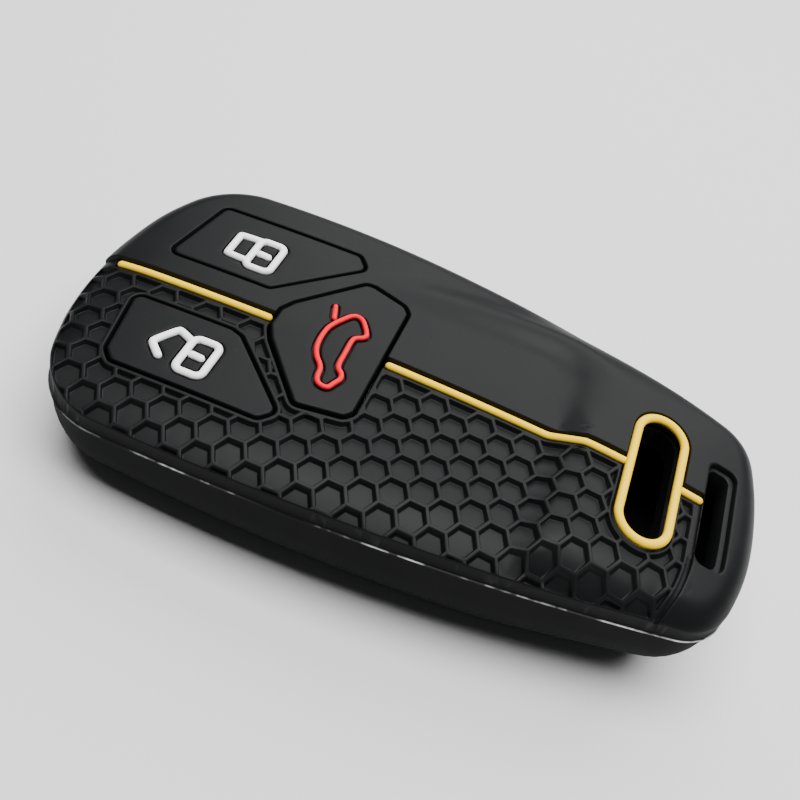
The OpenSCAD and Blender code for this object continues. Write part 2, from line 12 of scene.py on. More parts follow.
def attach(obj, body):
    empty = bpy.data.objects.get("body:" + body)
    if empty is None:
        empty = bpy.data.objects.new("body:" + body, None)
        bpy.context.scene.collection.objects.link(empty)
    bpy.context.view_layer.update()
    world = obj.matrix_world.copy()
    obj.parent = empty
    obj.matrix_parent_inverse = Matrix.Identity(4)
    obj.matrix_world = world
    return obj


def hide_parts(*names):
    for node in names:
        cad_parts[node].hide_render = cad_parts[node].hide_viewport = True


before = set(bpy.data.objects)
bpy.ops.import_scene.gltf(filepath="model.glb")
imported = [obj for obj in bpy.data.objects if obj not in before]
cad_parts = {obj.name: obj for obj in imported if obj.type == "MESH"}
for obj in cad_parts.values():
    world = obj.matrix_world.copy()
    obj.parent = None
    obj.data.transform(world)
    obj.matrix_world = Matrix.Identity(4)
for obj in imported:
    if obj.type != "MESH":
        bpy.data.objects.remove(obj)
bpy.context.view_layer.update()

# Sizes in millimetres, most as in the solids. The plain end's corners, the foot, the window, the slot, the borders,
# the pads' tops and the icons follow the photograph more closely.

MM = 0.001

# Outer form
LENGTH, WIDTH, HEIGHT = 83.6, 43.4, 17.0
SIDE_R, SIDE_X = 220.0, -18.0
PLAIN_END_R, PLAIN_CORNER_R = 36.0, 10.5
RING_END_R, RING_CORNER_R = 42.0, 7.0
DRAFT, WALL, FLOOR, FACE = 0.3, 2.0, 1.8, 2.4
FOOT_SHARE, PARTING_DROP = 0.86, 3.7
FOOT_XS, FOOT_RUNS = [-41.8, -28.0, 18.0, 36.0], [4.2, 6.2, 6.2, 9.6]  # how far in the back is rounded, along X
OPENING_X, OPENING_L, OPENING_W, OPENING_R = -3.0, 52.0, 23.0, 9.0

# Face
CROWN_R, CROWN_X = 400.0, 16.0
ROLL_R, ROLL_W, RUN_SHARE = 16.0, 7.5, 0.875
EDGE_XS, EDGE_RS = [-30.0, 0.0], [2.4, 3.2]  # radius of the far and end edges, along X
COMB_EDGE_R, CORNER_EDGE_R = 0.22, 0.45
SIDE_FROM, SIDE_RUN = 0.5, 0.3  # where the end's edge turns into the near side's, in shares of half the width
END_DIP, END_DIP_X, END_DIP_RUN, END_DIP_HALF, END_DIP_FADE = 0.55, -34.5, 7.3, 5.0, 8.0
STEP, STEP_FADE, STEP_FADE_Y, STEP_FADE_RUN = 0.7, 0.85, -3.0, 9.0
RING_RISE, RING_CROWN_R, RING_CROWN_X = 1.8, 130.0, 17.0
RING_FLAT, RING_ROLL_R = 11.5, 10.0
RAMP_X, RAMP_L, CREASE = 15.4, 4.0, 0.2
PAN_X, PAN_HALF, PAN_RUN, PAN_CORNER, PAN_TURN = 16.1, 12.2, 3.2, 4.0, 1.5
PAN_CREASE, PAN_TOP_SOFT, PAN_FOOT_SOFT, PAN_SOFT_Y, PAN_SOFT_RUN = 0.22, 1.1, 0.6, 1.5, 5.0
GAP, INLAY_GAP = 0.4, 0.08

# Window, slot and honeycomb
WINDOW_X, WINDOW_Y, WINDOW_W, WINDOW_L, RIM_W = 27.75, -0.4, 4.9, 17.2, 1.05
RIM_SUNK, RIM_UP = 1.0, 0.15
SLOT_X, SLOT_Y, SLOT_W, SLOT_L, SLOT_CORNER = 35.92, -0.85, 3.55, 14.4, 1.1
LEDGE_DEEP, LEDGE_LEFT, LEDGE_RIGHT, LEDGE_FAR, LEDGE_NEAR = 0.8, 0.25, 0.7, 0.55, 0.45
HOLE_CORNER = 0.9
PITCH, RIDGE, BORDER, END_BORDER, RIB = 3.29, 0.42, 0.45, 0.65, 0.45
FIELD_X, FIELD_R, GROOVE_W, GROOVE_DEEP = 33.2, 20.0, 0.4, 0.25
CELL_X, CELL_Y = 2.3, -5.8

# Beads
STRIPE_Y, STRIPE_W, STRIPE_UP, STRIPE_SUNK, BEAD = 0.3, 1.0, 0.4, 0.4, 0.47
LINE, BOOT_LINE, LINE_UP, BOOT_LINE_UP = 0.47, 0.33, -0.1, 0.03

# Pads and icons
PAD_CORNER, LOW_PAD_UP = 0.9, 0.08
PAD_X, PAD_L, PAD_OFF, PAD_W = -34.8, 22.0, 4.1, 11.0
BOOT_X, BOOT_L, BOOT_HALF_W = -19.2, 13.8, 10.6
BOOT_DIP, BOOT_DIP_Y, BOOT_DIP_RUN = 0.42, 1.5, 9.0
LOCK_AT, UNLOCK_AT = (-24.5, 9.1), (-23.65, -9.4)
CASE_L, CASE_W, CASE_R = 3.2, 5.2, 0.85
SHACKLE_L, SHACKLE_W, SHACKLE_X = 2.2, 4.9, -2.15
BOOT_ICON_X, BOOT_ICON_Y, BOOT_ICON_L, BOOT_ICON_W = -12.9, -6.8, 4.6, 11.8

CELL_R = PITCH / math.sqrt(3)
COLUMN_STEP = 1.5 * CELL_R
STEP_Y = STRIPE_Y + STRIPE_W / 2 + INLAY_GAP
CHANNEL_Y = STRIPE_Y - STRIPE_W / 2 - INLAY_GAP
COMB_TOP = CHANNEL_Y - RIB
SLOT_X0 = SLOT_X - SLOT_W / 2
SLOT_NEAR = SLOT_Y - SLOT_L / 2
PAN_CORNER_RUN = (PAN_X + PAN_HALF - 2 * PAN_CORNER) / math.sqrt(2) + PAN_CORNER
CLIMB = math.hypot(RAMP_L, RING_RISE) - RAMP_L
SMOOTH_GAP = RIB + GROOVE_W

FAR = 99.0  # more than any distance on the cover

# Plan outline: five arcs that run into each other on each side of the centre line


def meeting(p, q, a, b):
    """Centre of a circle that is a from p and b from q, on the left of the way from p to q"""
    way = q - p
    d = way.length
    u = way / d
    t = (a * a - b * b + d * d) / (2 * d)
    return p + t * u + math.sqrt(a * a - t * t) * Vector((-u.y, u.x))


def bearing(p, q):
    return math.atan2(q.y - p.y, q.x - p.x)


PLAIN_C = Vector((PLAIN_END_R - LENGTH / 2, 0))
RING_C = Vector((LENGTH / 2 - RING_END_R, 0))
SIDE_C = Vector((SIDE_X, WIDTH / 2 - SIDE_R))
PLAIN_CORNER_C = meeting(SIDE_C, PLAIN_C, SIDE_R - PLAIN_CORNER_R, PLAIN_END_R - PLAIN_CORNER_R)
RING_CORNER_C = meeting(RING_C, SIDE_C, RING_END_R - RING_CORNER_R, SIDE_R - RING_CORNER_R)
PLAIN_A, SIDE_A = bearing(PLAIN_C, PLAIN_CORNER_C), bearing(SIDE_C, PLAIN_CORNER_C)
SIDE_B, RING_B = bearing(SIDE_C, RING_CORNER_C), bearing(RING_C, RING_CORNER_C)
ARCS = [
    (PLAIN_C, PLAIN_END_R, math.pi, PLAIN_A, 14),
    (PLAIN_CORNER_C, PLAIN_CORNER_R, PLAIN_A, SIDE_A, 22),
    (SIDE_C, SIDE_R, SIDE_A, SIDE_B, 64),
    (RING_CORNER_C, RING_CORNER_R, SIDE_B, RING_B, 18),
    (RING_C, RING_END_R, RING_B, 0.0, 14),
]


def outline(inset):
    """The cover's outline in plan, moved inwards by inset"""
    far = []
    for c, r, a, b, n in ARCS:
        for i in range(n):
            t = a + (b - a) * i / n
            far.append((c.x + (r - inset) * math.cos(t), c.y + (r - inset) * math.sin(t)))
    near = [(x, -y) for x, y in reversed(far[1:])]
    return far + [(LENGTH / 2 - inset, 0.0)] + near


def depth_in(x, y):
    """Distance inside the outline"""
    side = np.abs(y)
    best = np.full(np.shape(x), FAR)
    for c, r, a, b, _ in ARCS:
        t = np.arctan2(side - c.y, x - c.x)
        d = r - np.hypot(x - c.x, side - c.y)
        here = (t <= a + 1e-6) & (t >= b - 1e-6)
        best = np.where(here & (d < best), d, best)
    return best


# Plan shapes: each is a convex core and an even reach round it


def grown(points, d):
    """A polygon's corners moved so that each side shifts by d to the left of its run"""
    out = []
    n = len(points)
    for i in range(n):
        p = Vector(points[i])
        u, v = (p - Vector(points[i - 1])).normalized(), (Vector(points[(i + 1) % n]) - p).normalized()
        m, k = Vector((-u.y, u.x)), Vector((-v.y, v.x))
        out.append(tuple(p + d * (m + k) / (1 + m.dot(k))))
    return out


def stretches(points, closed=True):
    """Each point of a run with the next one"""
    return zip(points, points[1:] + points[:1] if closed else points[1:])


def anticlockwise(points):
    area = sum(p[0] * q[1] - q[0] * p[1] for p, q in stretches(points))
    return points if area > 0 else points[::-1]


def shell(core, reach, steps=8):
    """Outline at an even distance round a core whose corners run anticlockwise"""
    out = []
    n = len(core)
    for i in range(n):
        p, before, after = core[i], core[i - 1], core[(i + 1) % n]
        a = math.atan2(before[0] - p[0], p[1] - before[1])
        b = math.atan2(p[0] - after[0], after[1] - p[1])
        turn = (b - a) % (2 * math.pi)
        count = max(2, round(steps * turn / (math.pi / 2)))
        for k in range(count + 1):
            t = a + turn * k / count
            out.append((p[0] + reach * math.cos(t), p[1] + reach * math.sin(t)))
    return out


def box_core(x, y, half_l, half_w):
    return [(x + u * half_l, y + v * half_w) for u, v in ((-1, -1), (1, -1), (1, 1), (-1, 1))]


def straight_gap(p, q, x, y):
    """Distance from the straight line between p and q"""
    ex, ey = q[0] - p[0], q[1] - p[1]
    wx, wy = x - p[0], y - p[1]
    t = np.clip((wx * ex + wy * ey) / (ex * ex + ey * ey), 0, 1)
    return np.hypot(wx - t * ex, wy - t * ey)


def core_gap(core, x, y):
    """Distance outside a convex core, negative inside it"""
    best = np.full(np.shape(x), FAR)
    inside = np.ones(np.shape(x), bool)
    for p, q in stretches(core):
        best = np.minimum(best, straight_gap(p, q, x, y))
        inside &= (q[0] - p[0]) * (y - p[1]) - (q[1] - p[1]) * (x - p[0]) > 0
    return np.where(inside, -best, best)


def pad_core(points):
    """A pad's core, from its outline with sharp corners"""
    return grown(anticlockwise(points), PAD_CORNER)


def side_pad_core(shares, side):
    return pad_core([(PAD_X + u * PAD_L, STRIPE_Y + side * (PAD_OFF + v * PAD_W)) for u, v in shares])


# Corners of the pads, in shares of their length and width
LOCK_SHARES = [(0, 0), (0.09, 0.985), (0.929, 1), (1, 0.825), (0.598, 0)]
UNLOCK_SHARES = [
    (0.01, -0.01), (0.085, 0.80), (0.145, 0.925), (0.935, 0.925), (1, 0.775), (0.625, 0.03), (0.56, -0.015),
]
BOOT_SHARES = [
    (0.03, -0.13), (0.03, 0.13), (0.1, 0.3), (0.552, 1), (0.63, 1), (0.944, 0.89), (1, 0.8),
    (1, -0.82), (0.944, -0.91), (0.552, -1), (0.1, -0.3),
]
LOCK_CORE, UNLOCK_CORE = side_pad_core(LOCK_SHARES, 1), side_pad_core(UNLOCK_SHARES, -1)
BOOT_CORE = pad_core([(BOOT_X + u * BOOT_L, STRIPE_Y + v * BOOT_HALF_W) for u, v in BOOT_SHARES])
PAD_CORES = [LOCK_CORE, UNLOCK_CORE, BOOT_CORE]
WINDOW_CORE = [(WINDOW_X, WINDOW_Y + v * (WINDOW_L - WINDOW_W) / 2) for v in (-1, 1)]
SLOT_CORE = box_core(SLOT_X, SLOT_Y, SLOT_W / 2 - SLOT_CORNER, SLOT_L / 2 - SLOT_CORNER)
HOLE_LEFT, HOLE_RIGHT = SLOT_X0 + LEDGE_LEFT + HOLE_CORNER, SLOT_X0 + SLOT_W - LEDGE_RIGHT - HOLE_CORNER
HOLE_NEAR, HOLE_FAR = SLOT_NEAR + LEDGE_NEAR + HOLE_CORNER, SLOT_NEAR + SLOT_L - LEDGE_FAR - HOLE_CORNER
HOLE_CORE = [(HOLE_LEFT, HOLE_NEAR), (HOLE_RIGHT, HOLE_NEAR), (HOLE_RIGHT, HOLE_FAR), (HOLE_LEFT, HOLE_FAR)]
OPENING_CORE = box_core(OPENING_X, 0, OPENING_L / 2 - OPENING_R, OPENING_W / 2 - OPENING_R)


def pad_gap(core, x, y):
    return core_gap(core, x, y) - PAD_CORNER


def window_gap(x, y):
    return core_gap(WINDOW_CORE, x, y) - WINDOW_W / 2


def slot_gap(x, y):
    return core_gap(SLOT_CORE, x, y) - SLOT_CORNER


def hole_gap(x, y):
    """Distance outside the slot's hole, inside its ledge"""
    return core_gap(HOLE_CORE, x, y) - HOLE_CORNER


def opening_gap(x, y):
    return core_gap(OPENING_CORE, x, y) - OPENING_R


def field_gap(x, y):
    """Distance outside the honeycomb's field at the ring end"""
    curved = np.hypot(x - (FIELD_X - FIELD_R), y - SLOT_NEAR) - FIELD_R
    low = np.where(x > FIELD_X - FIELD_R, curved, -FIELD_R)
    return np.where(y >= SLOT_NEAR, x - FIELD_X, low)


def smooth_gap(x, y):
    """Distance inside the smooth half and the corner beyond the slot's near end"""
    return np.maximum(y - STEP_Y, field_gap(x, y) - SMOOTH_GAP)


def laid(x):
    """Place along the cover of a place in the flat pattern, which loses way as it climbs the slope"""
    return x - CLIMB * np.clip((x - RAMP_X) / RAMP_L, 0, 1)


def lattice_gap(x, y):
    """Distance outside the nearest cell of the honeycomb"""
    x = x + CLIMB * np.clip((x - RAMP_X) / (RAMP_L - CLIMB), 0, 1)
    first = np.round((x - CELL_X) / COLUMN_STEP)
    best = np.full(np.shape(x), FAR)
    for shift in (-1, 0, 1):
        column = first + shift
        half = np.where(column % 2 == 0, 0.0, 0.5)
        row = np.round((y - CELL_Y) / PITCH - half)
        dx = np.abs(x - CELL_X - column * COLUMN_STEP)
        dy = np.abs(y - CELL_Y - (row + half) * PITCH)
        best = np.minimum(best, np.maximum(dy, dx * math.cos(math.pi / 6) + dy / 2))
    return best - (PITCH - RIDGE) / 2


def side_share(y):
    """Share of the way that the edge has turned from the ends' to the near side's"""
    return np.clip((-2 * y / WIDTH - SIDE_FROM) / SIDE_RUN, 0, 1)


def border_at(y):
    """Width of the plain border round the honeycomb"""
    return END_BORDER + side_share(y) * (BORDER - END_BORDER)


def border_line(out):
    """Line where the plain border meets the honeycomb, moved inwards by out"""
    line = []
    for (x0, y0), (x1, y1) in zip(outline(0.0), outline(1.0)):
        inset = END_BORDER
        for _ in range(8):  # the width at the line depends on the line's place
            inset = float(border_at(y0 + inset * (y1 - y0))) + out
        line.append((x0 + inset * (x1 - x0), y0 + inset * (y1 - y0)))
    return line


def area_gap(x, y):
    """Distance outside the area that the cells may take"""
    gap = np.maximum(border_at(y) - depth_in(x, y), field_gap(x, y))
    gap = np.maximum(gap, y - COMB_TOP)
    for core in (UNLOCK_CORE, BOOT_CORE):
        gap = np.maximum(gap, GAP + RIB - pad_gap(core, x, y))
    return np.maximum(gap, RIM_W + RIB - window_gap(x, y))


# The yellow beads' ends along X, and the channels that hold them, which run on under the rim and into the wells
LEFT_BEAD, MIDDLE_BEAD, TAIL_END = (-39.4, -19.24), -4.85, SLOT_X0 + 0.02
CHANNELS = [(LEFT_BEAD[0] - INLAY_GAP, LEFT_BEAD[1] + 0.1), (MIDDLE_BEAD - 0.1, WINDOW_X), (WINDOW_X, SLOT_X0 + 0.5)]


def channel_gap(x, y):
    """Distance outside the nearest channel"""
    gap = np.full(np.shape(x), FAR)
    for a, b in CHANNELS:
        gap = np.minimum(gap, np.maximum(np.abs(x - (a + b) / 2) - (b - a) / 2, CHANNEL_Y - y))
    return gap


# Levels of the face


def soft_max(a, b, k):
    h = np.clip(0.5 + 0.5 * (a - b) / k, 0, 1)
    return b * (1 - h) + a * h + k * h * (1 - h)


def soft_min(a, b, k):
    return -soft_max(-a, -b, k)


def ease(t):
    t = np.clip(t, 0, 1)
    return t * t * (3 - 2 * t)


def roll_drop(run, r):
    """Drop of a round edge of radius r, run into its curve"""
    return r - np.sqrt(r * r - np.clip(run, 0, RUN_SHARE * r) ** 2)


def crown(x, top, middle, r):
    """Level of a long arch"""
    return top - r + np.sqrt(r * r - (x - middle) ** 2)


def base_level(x):
    return crown(x, HEIGHT, CROWN_X, CROWN_R)


def ring_level(x, y):
    return crown(x, HEIGHT + RING_RISE, RING_CROWN_X, RING_CROWN_R) - roll_drop(np.abs(y) - RING_FLAT, RING_ROLL_R)


def ridge_level(x, y):
    """Level of the honeycomb's ridges, with the ramp up to the ring end"""
    ramp = HEIGHT + (x - RAMP_X) * RING_RISE / RAMP_L
    return soft_max(base_level(x), soft_min(ring_level(x, y), ramp, CREASE), CREASE)


def near_roll(x, y):
    """How far the face rolls down towards the near side"""
    return roll_drop(ROLL_W - SIDE_R + np.hypot(x - SIDE_X, y - (SIDE_R - WIDTH / 2)), ROLL_R)


def end_dip(x, y):
    """How far the face dips at the middle of the plain end"""
    along = np.clip((END_DIP_X - x) / END_DIP_RUN, 0, 1)
    return END_DIP * along**2 * (1 - ease((np.abs(y) - END_DIP_HALF) / END_DIP_FADE))


def comb_level(x, y):
    return ridge_level(x, y) - near_roll(x, y)


def smooth_level(x, y):
    """Level of the smooth half with its shallow pan, whose creases soften away from the step"""
    out = soft_max(x - PAN_X, y - PAN_HALF, PAN_TURN)
    out = soft_max(out, (x + y) / math.sqrt(2) - PAN_CORNER_RUN, PAN_TURN)
    pan = HEIGHT + out * RING_RISE / PAN_RUN
    soft = ease((y - PAN_SOFT_Y) / PAN_SOFT_RUN)
    high = soft_min(ring_level(x, y), pan, PAN_CREASE + PAN_TOP_SOFT * soft)
    step = STEP * (1 - STEP_FADE * ease((STEP_FADE_Y - y) / STEP_FADE_RUN))
    return step + soft_max(base_level(x), high, PAN_CREASE + PAN_FOOT_SOFT * soft) - near_roll(x, y)


def parting_level(x):
    return base_level(x) - PARTING_DROP


# Profiles across the edges: how far out or in, and the drop or the share of a step there
CELL_INS = [-0.10, -0.04, 0.02, 0.12, 0.20, 0.28]
CELL_DROPS = [0.0, 0.02, 0.10, 0.62, 0.70, 0.70]
STEP_INS = [0.0, 0.05, 0.10, 0.18, 0.30]
STEP_SHARES = [0.0, 0.83, 0.95, 1.0, 1.0]
WELL_OUTS = [0.0, 0.05, 0.12, 0.22]
WELL_DROPS = [0.14, 0.05, 0.0, 0.0]
SLOT_OUTS = [-0.24, -0.12, 0.0, 0.06, 0.15, 0.28, 0.40]
SLOT_DROPS = [LEDGE_DEEP, LEDGE_DEEP - 0.04, 0.36, 0.14, 0.03, 0.0, 0.0]
HOLE_OUTS = [0.0, 0.06]
HOLE_DROPS = [0.06, 0.0]
CHANNEL_OUTS = [0.0, 0.05, 0.12]
CHANNEL_DROPS = [STRIPE_SUNK, 0.08, 0.0]
RIM_OUTS = [0.0, 0.06, 0.13, 0.24]
RIM_SHARES = [0.0, 0.86, 1.0, 1.0]
GROOVE_OUTS = [0.37, 0.42, 0.47]
GROOVE_DROPS = [0.0, 0.06, GROOVE_DEEP]
WALL_INS = [0.0, 0.06, 0.16, DRAFT]
LIP_UPS = [0.0, 0.08, 0.11]
BACK_OUTS = [0.0, 0.08, 0.2, 0.4]
BACK_DROPS = [0.35, 0.12, 0.03, 0.0]
FOOT_INS = [0.0, 0.1, 0.3, 0.6, 1.0, 1.5, 2.2, 3.0, 4.0, 5.2, 6.6, 8.0, 9.6]


def face_level(x, y):
    """Level of the sleeve's face, from the middle out to the parting line"""
    ridge = comb_level(x, y)
    inside = np.maximum(lattice_gap(x, y), area_gap(x, y))
    low = ridge - np.interp(-inside, CELL_INS, CELL_DROPS)
    low = low - np.interp(channel_gap(x, y), CHANNEL_OUTS, CHANNEL_DROPS)
    low = low - np.where(y < SLOT_NEAR, np.interp(field_gap(x, y), GROOVE_OUTS, GROOVE_DROPS), 0.0)
    high = smooth_level(x, y)
    z = low + (high - low) * np.interp(smooth_gap(x, y), STEP_INS, STEP_SHARES)
    d = depth_in(x, y)
    turned = ease(side_share(y))
    smooth = smooth_gap(x, y) > 0
    for share, r in (
        (1 - turned, np.interp(x, EDGE_XS, EDGE_RS)),
        (np.where(smooth, turned, 0.0), CORNER_EDGE_R),
        (np.where(smooth, 0.0, turned), COMB_EDGE_R),
    ):
        z = z - share * roll_drop(RUN_SHARE * r - (d - DRAFT), r)
    z = z - end_dip(x, y)
    for core in PAD_CORES:
        z = z - np.interp(pad_gap(core, x, y) - GAP, WELL_OUTS, WELL_DROPS)
    z = z - np.interp(slot_gap(x, y), SLOT_OUTS, SLOT_DROPS) - np.interp(hole_gap(x, y), HOLE_OUTS, HOLE_DROPS)
    bed = ring_level(x, y) - RIM_SUNK
    rise = np.interp(window_gap(x, y) - RIM_W - INLAY_GAP, RIM_OUTS, RIM_SHARES)
    z = bed + (z - bed) * rise
    parting = parting_level(x)
    share = np.clip((d - WALL_INS[2]) / (DRAFT - WALL_INS[2]), 0, 1)
    wall = parting + LIP_UPS[2] + (z - parting - LIP_UPS[2]) * share
    lip = parting + np.interp(d, WALL_INS[:3], LIP_UPS)
    return np.where(d >= DRAFT, z, np.where(d >= WALL_INS[2], wall, lip))


CHORD_SLACK = 0.003  # chords of the outline's arcs lie less than this inside it


def foot_rise(x):
    return FOOT_SHARE * parting_level(x)


def foot_run(x):
    return np.interp(x, FOOT_XS, FOOT_RUNS)


def foot(d, run, rise):
    """Level of a rounded foot at a depth of d inside its outline"""
    u = np.clip(np.where(d < CHORD_SLACK, 0, d) / run, 0, 1)
    return rise * (1 - np.sqrt(np.clip(1 - (1 - u) ** 2, 0, 1)))


def back_level(x, y):
    z = foot(depth_in(x, y) - DRAFT, foot_run(x), foot_rise(x))
    z = z + np.interp(opening_gap(x, y), BACK_OUTS, BACK_DROPS)
    return z + np.interp(slot_gap(x, y), BACK_OUTS, BACK_DROPS)


def floor_level(x, y):
    return FLOOR + foot(depth_in(x, y) - WALL, foot_run(x) - WALL, foot_rise(x) - FLOOR)


def ceiling_level(x, y):
    return base_level(x) - FACE + 0 * y


# Sheets: lines and dots in plan, joined into one net and lifted to a level

NET_SNAP, WELD = 0.0008, 0.001  # points of a net, and of the skin, that are closer than this are one
ROUND_STEPS = 12  # chords in a quarter turn of the window and its rim
SHARP = math.radians(50)  # edges sharper than this are shaded sharp
EDGE_SLACK = 0.002  # triangles whose middle is this near a hole's edge are chords of its corners
RIM_SLACK = 0.01  # and the same at the outline, whose arcs are longer
ON_RIM = 0.03  # how near its line an edge of a rim lies


def dense(points, closed=False, step=1.0):
    """The same run of points with no stretch longer than step"""
    out = []
    for p, q in stretches(points, closed):
        n = max(1, math.ceil(math.dist(p, q) / step))
        out += [(p[0] + (q[0] - p[0]) * i / n, p[1] + (q[1] - p[1]) * i / n) for i in range(n)]
    return out if closed else out + [points[-1]]


def runs_of(points, keep, closed=True):
    """The stretches of a run of points that keep allows"""
    good = [bool(k) for k in keep(np.array([p[0] for p in points]), np.array([p[1] for p in points]))]
    if closed and all(good):
        return [(points, True)]
    if closed:
        start = good.index(False)
        points, good = points[start:] + points[:start], good[start:] + good[:start]
    out, run = [], []
    for p, g in zip(points, good):
        if g:
            run.append(p)
        elif run:
            out.append(run)
            run = []
    if run:
        out.append(run)
    return [(r, False) for r in out if len(r) > 1]


class Plan:
    """A drawing in plan that becomes a sheet"""

    def __init__(self):
        self.spots, self.lines = [], []

    def line(self, points, closed=False):
        first = len(self.spots)
        self.spots += [Vector(p) for p in points]
        self.lines += [(first + i, first + i + 1) for i in range(len(points) - 1)]
        if closed:
            self.lines.append((first + len(points) - 1, first))

    def ring(self, core, reach, steps=8, step=1.0):
        """A line at an even distance round a core"""
        self.line(dense(shell(core, reach, steps), True, step), True)

    def kept_line(self, points, keep, closed=True):
        for run, whole in runs_of(points, keep, closed):
            self.line(run, whole)

    def dots(self, xs, ys, keep):
        x, y = (a.ravel() for a in np.meshgrid(xs, ys))
        good = keep(x, y)
        self.spots += [Vector(p) for p in zip(x[good].tolist(), y[good].tolist())]

    def sheet(self, bm, level, inside):
        """Adds the net to bm and returns its rim edges"""
        spots, _, corners, *_ = delaunay_2d_cdt(self.spots, self.lines, [], 0, NET_SNAP)
        x, y = np.array([p.x for p in spots]), np.array([p.y for p in spots])
        tri = np.array(corners)
        good = inside(x[tri].mean(1), y[tri].mean(1))
        z = level(x, y)
        verts = [bm.verts.new(p) for p in zip(x.tolist(), y.tolist(), z.tolist())]
        faces = [bm.faces.new([verts[i] for i in t]) for t in tri[good].tolist()]
        bmesh.ops.delete(bm, geom=[v for v in verts if not v.link_faces], context="VERTS")
        faces = [f for f in faces if f.is_valid]
        rim = {e for f in faces for e in f.edges if len(e.link_faces) == 1}
        return list(rim)


def rim_at(rim, gap, at=0.0):
    """The rim edges that lie where gap has one value"""
    x = np.array([[v.co.x for v in e.verts] for e in rim])
    y = np.array([[v.co.y for v in e.verts] for e in rim])
    near = (np.abs(gap(x, y) - at) < ON_RIM).all(1)
    return [e for e, good in zip(rim, near) if good]


def pulled(bm, edges, move):
    """Extrudes a rim of edges and moves the new points; returns the new rim"""
    got = bmesh.ops.extrude_edge_only(bm, edges=edges)["geom"]
    for v in got:
        if isinstance(v, bmesh.types.BMVert):
            v.co = move(v.co)
    return [e for e in got if isinstance(e, bmesh.types.BMEdge)]


def placed(name, data):
    obj = bpy.data.objects.new(name, data)
    bpy.context.scene.collection.objects.link(obj)
    return obj


def piece(name, bm, body, nodes, finish):
    """Makes an object of a mesh in millimetres, gives it its body and its finish, and hides the solids' nodes that
    it stands for
    """
    bmesh.ops.scale(bm, vec=(MM, MM, MM), verts=bm.verts)
    mesh = bpy.data.meshes.new(name)
    bm.to_mesh(mesh)
    bm.free()
    mesh.polygons.foreach_set("use_smooth", [True] * len(mesh.polygons))
    mesh.set_sharp_from_angle(angle=SHARP)
    mesh.materials.append(finish)
    obj = placed(name, mesh)
    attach(obj, body)
    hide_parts(*nodes)
    return obj


# Sleeve

COMB_COLUMNS, COMB_ROWS = range(-30, 25), range(-20, 10)
COMB_X0, COMB_X1 = -41.0, 34.0
FIELD_TURN, FIELD_TURN_STEPS = 1.2, 28
FIELD_SLACK = 0.12  # how far the lines of the cells' walls run on past their field
LEAST_CELL = 0.02  # a cell counts if it reaches this far into the field
SOFT_INS = [0.35, 0.42, 0.50, 0.60, 0.80, 1.02]  # rings of the net where the edges are round
WIDE_INS = [1.35, 1.70, 2.10, 2.55, 3.05, 3.50]
STEP_START, GROOVE_START = 0.8, 0.2  # how far beyond the slot's near end the lines of step and groove start
GRID, FINE_GRID, FINE_X, GRID_IN = 0.8, 0.5, 7.5, 3.8  # dots on open ground, and the finer ones towards the ring
GRID_X0, GRID_X1, GRID_Y, GRID_OFF = -41, 41.5, 21, 0.7
CREASE_ROWS = (-0.62, -0.5, -0.38, 1.3, 1.5, 1.75, 2.05)  # across the ramp, beside the stripe
CREASE_X0, CREASE_X1, CREASE_GRID = 14.4, 20.6, 0.22
STEP_CLEAR, WELL_CLEAR, HOLE_CLEAR, LOWER_CLEAR = 0.55, 0.5, 0.6, 0.45  # how far dots and lines keep from others
CEILING_GRID, CEILING_CLEAR, CEILING_X, CEILING_Y = 2.5, 0.5, 39, 18
LIP_STEPS = [(0.03, 0.06), (0.12, 0.13), (0.14, 0.5)]  # under the parting line: how far in, and how far down
# How far from the parting line its painted highlight reaches, and how far above the lip the outer wall is rougher
PAINTED_HIGHLIGHT_W, BLASTED_OVER = 0.1, 0.2


def honeycomb_lines(plan):
    """Lines of every cell's wall, and of the walls along the field's borders"""
    turns = np.arange(6) * math.pi / 3
    for column in COMB_COLUMNS:
        for row in COMB_ROWS:
            cx = CELL_X + column * COLUMN_STEP
            cy = CELL_Y + (row + (0.5 if column % 2 else 0.0)) * PITCH
            ends = laid(cx + CELL_R * np.cos(turns)), cy + CELL_R * np.sin(turns)
            if area_gap(np.append(ends[0], cx), np.append(ends[1], cy)).min() > -LEAST_CELL:
                continue
            for inward in CELL_INS:
                r = ((PITCH - RIDGE) / 2 - inward) * 2 / math.sqrt(3)
                plan.line(list(zip(laid(cx + r * np.cos(turns)).tolist(), (cy + r * np.sin(turns)).tolist())), True)

    def in_field(x, y):
        bordered = depth_in(x, y) > border_at(y) - FIELD_SLACK
        return (y < COMB_TOP + FIELD_SLACK) & (field_gap(x, y) < FIELD_SLACK) & bordered

    for inward in CELL_INS:
        plan.kept_line(border_line(inward), in_field)
        plan.kept_line(dense([(COMB_X0, COMB_TOP - inward), (COMB_X1, COMB_TOP - inward)]), in_field, False)
        rim_wall = shell(WINDOW_CORE, WINDOW_W / 2 + RIM_W + RIB + inward, ROUND_STEPS)
        plan.kept_line(dense(rim_wall, True), in_field)
        for core in (UNLOCK_CORE, BOOT_CORE):
            plan.kept_line(dense(shell(core, PAD_CORNER + GAP + RIB + inward), True), in_field)
        plan.kept_line(field_line(-inward, COMB_TOP), in_field, False)


def field_line(out, top):
    """Line along the honeycomb's end at the ring end, from top down to the near edge"""
    r = FIELD_R + out
    c = (FIELD_X - FIELD_R, SLOT_NEAR)
    turns = np.linspace(0, FIELD_TURN, FIELD_TURN_STEPS)
    turn = [(c[0] + r * math.cos(t), c[1] - r * math.sin(t)) for t in turns]
    return dense([(FIELD_X + out, top), (FIELD_X + out, SLOT_NEAR)]) + turn[1:]


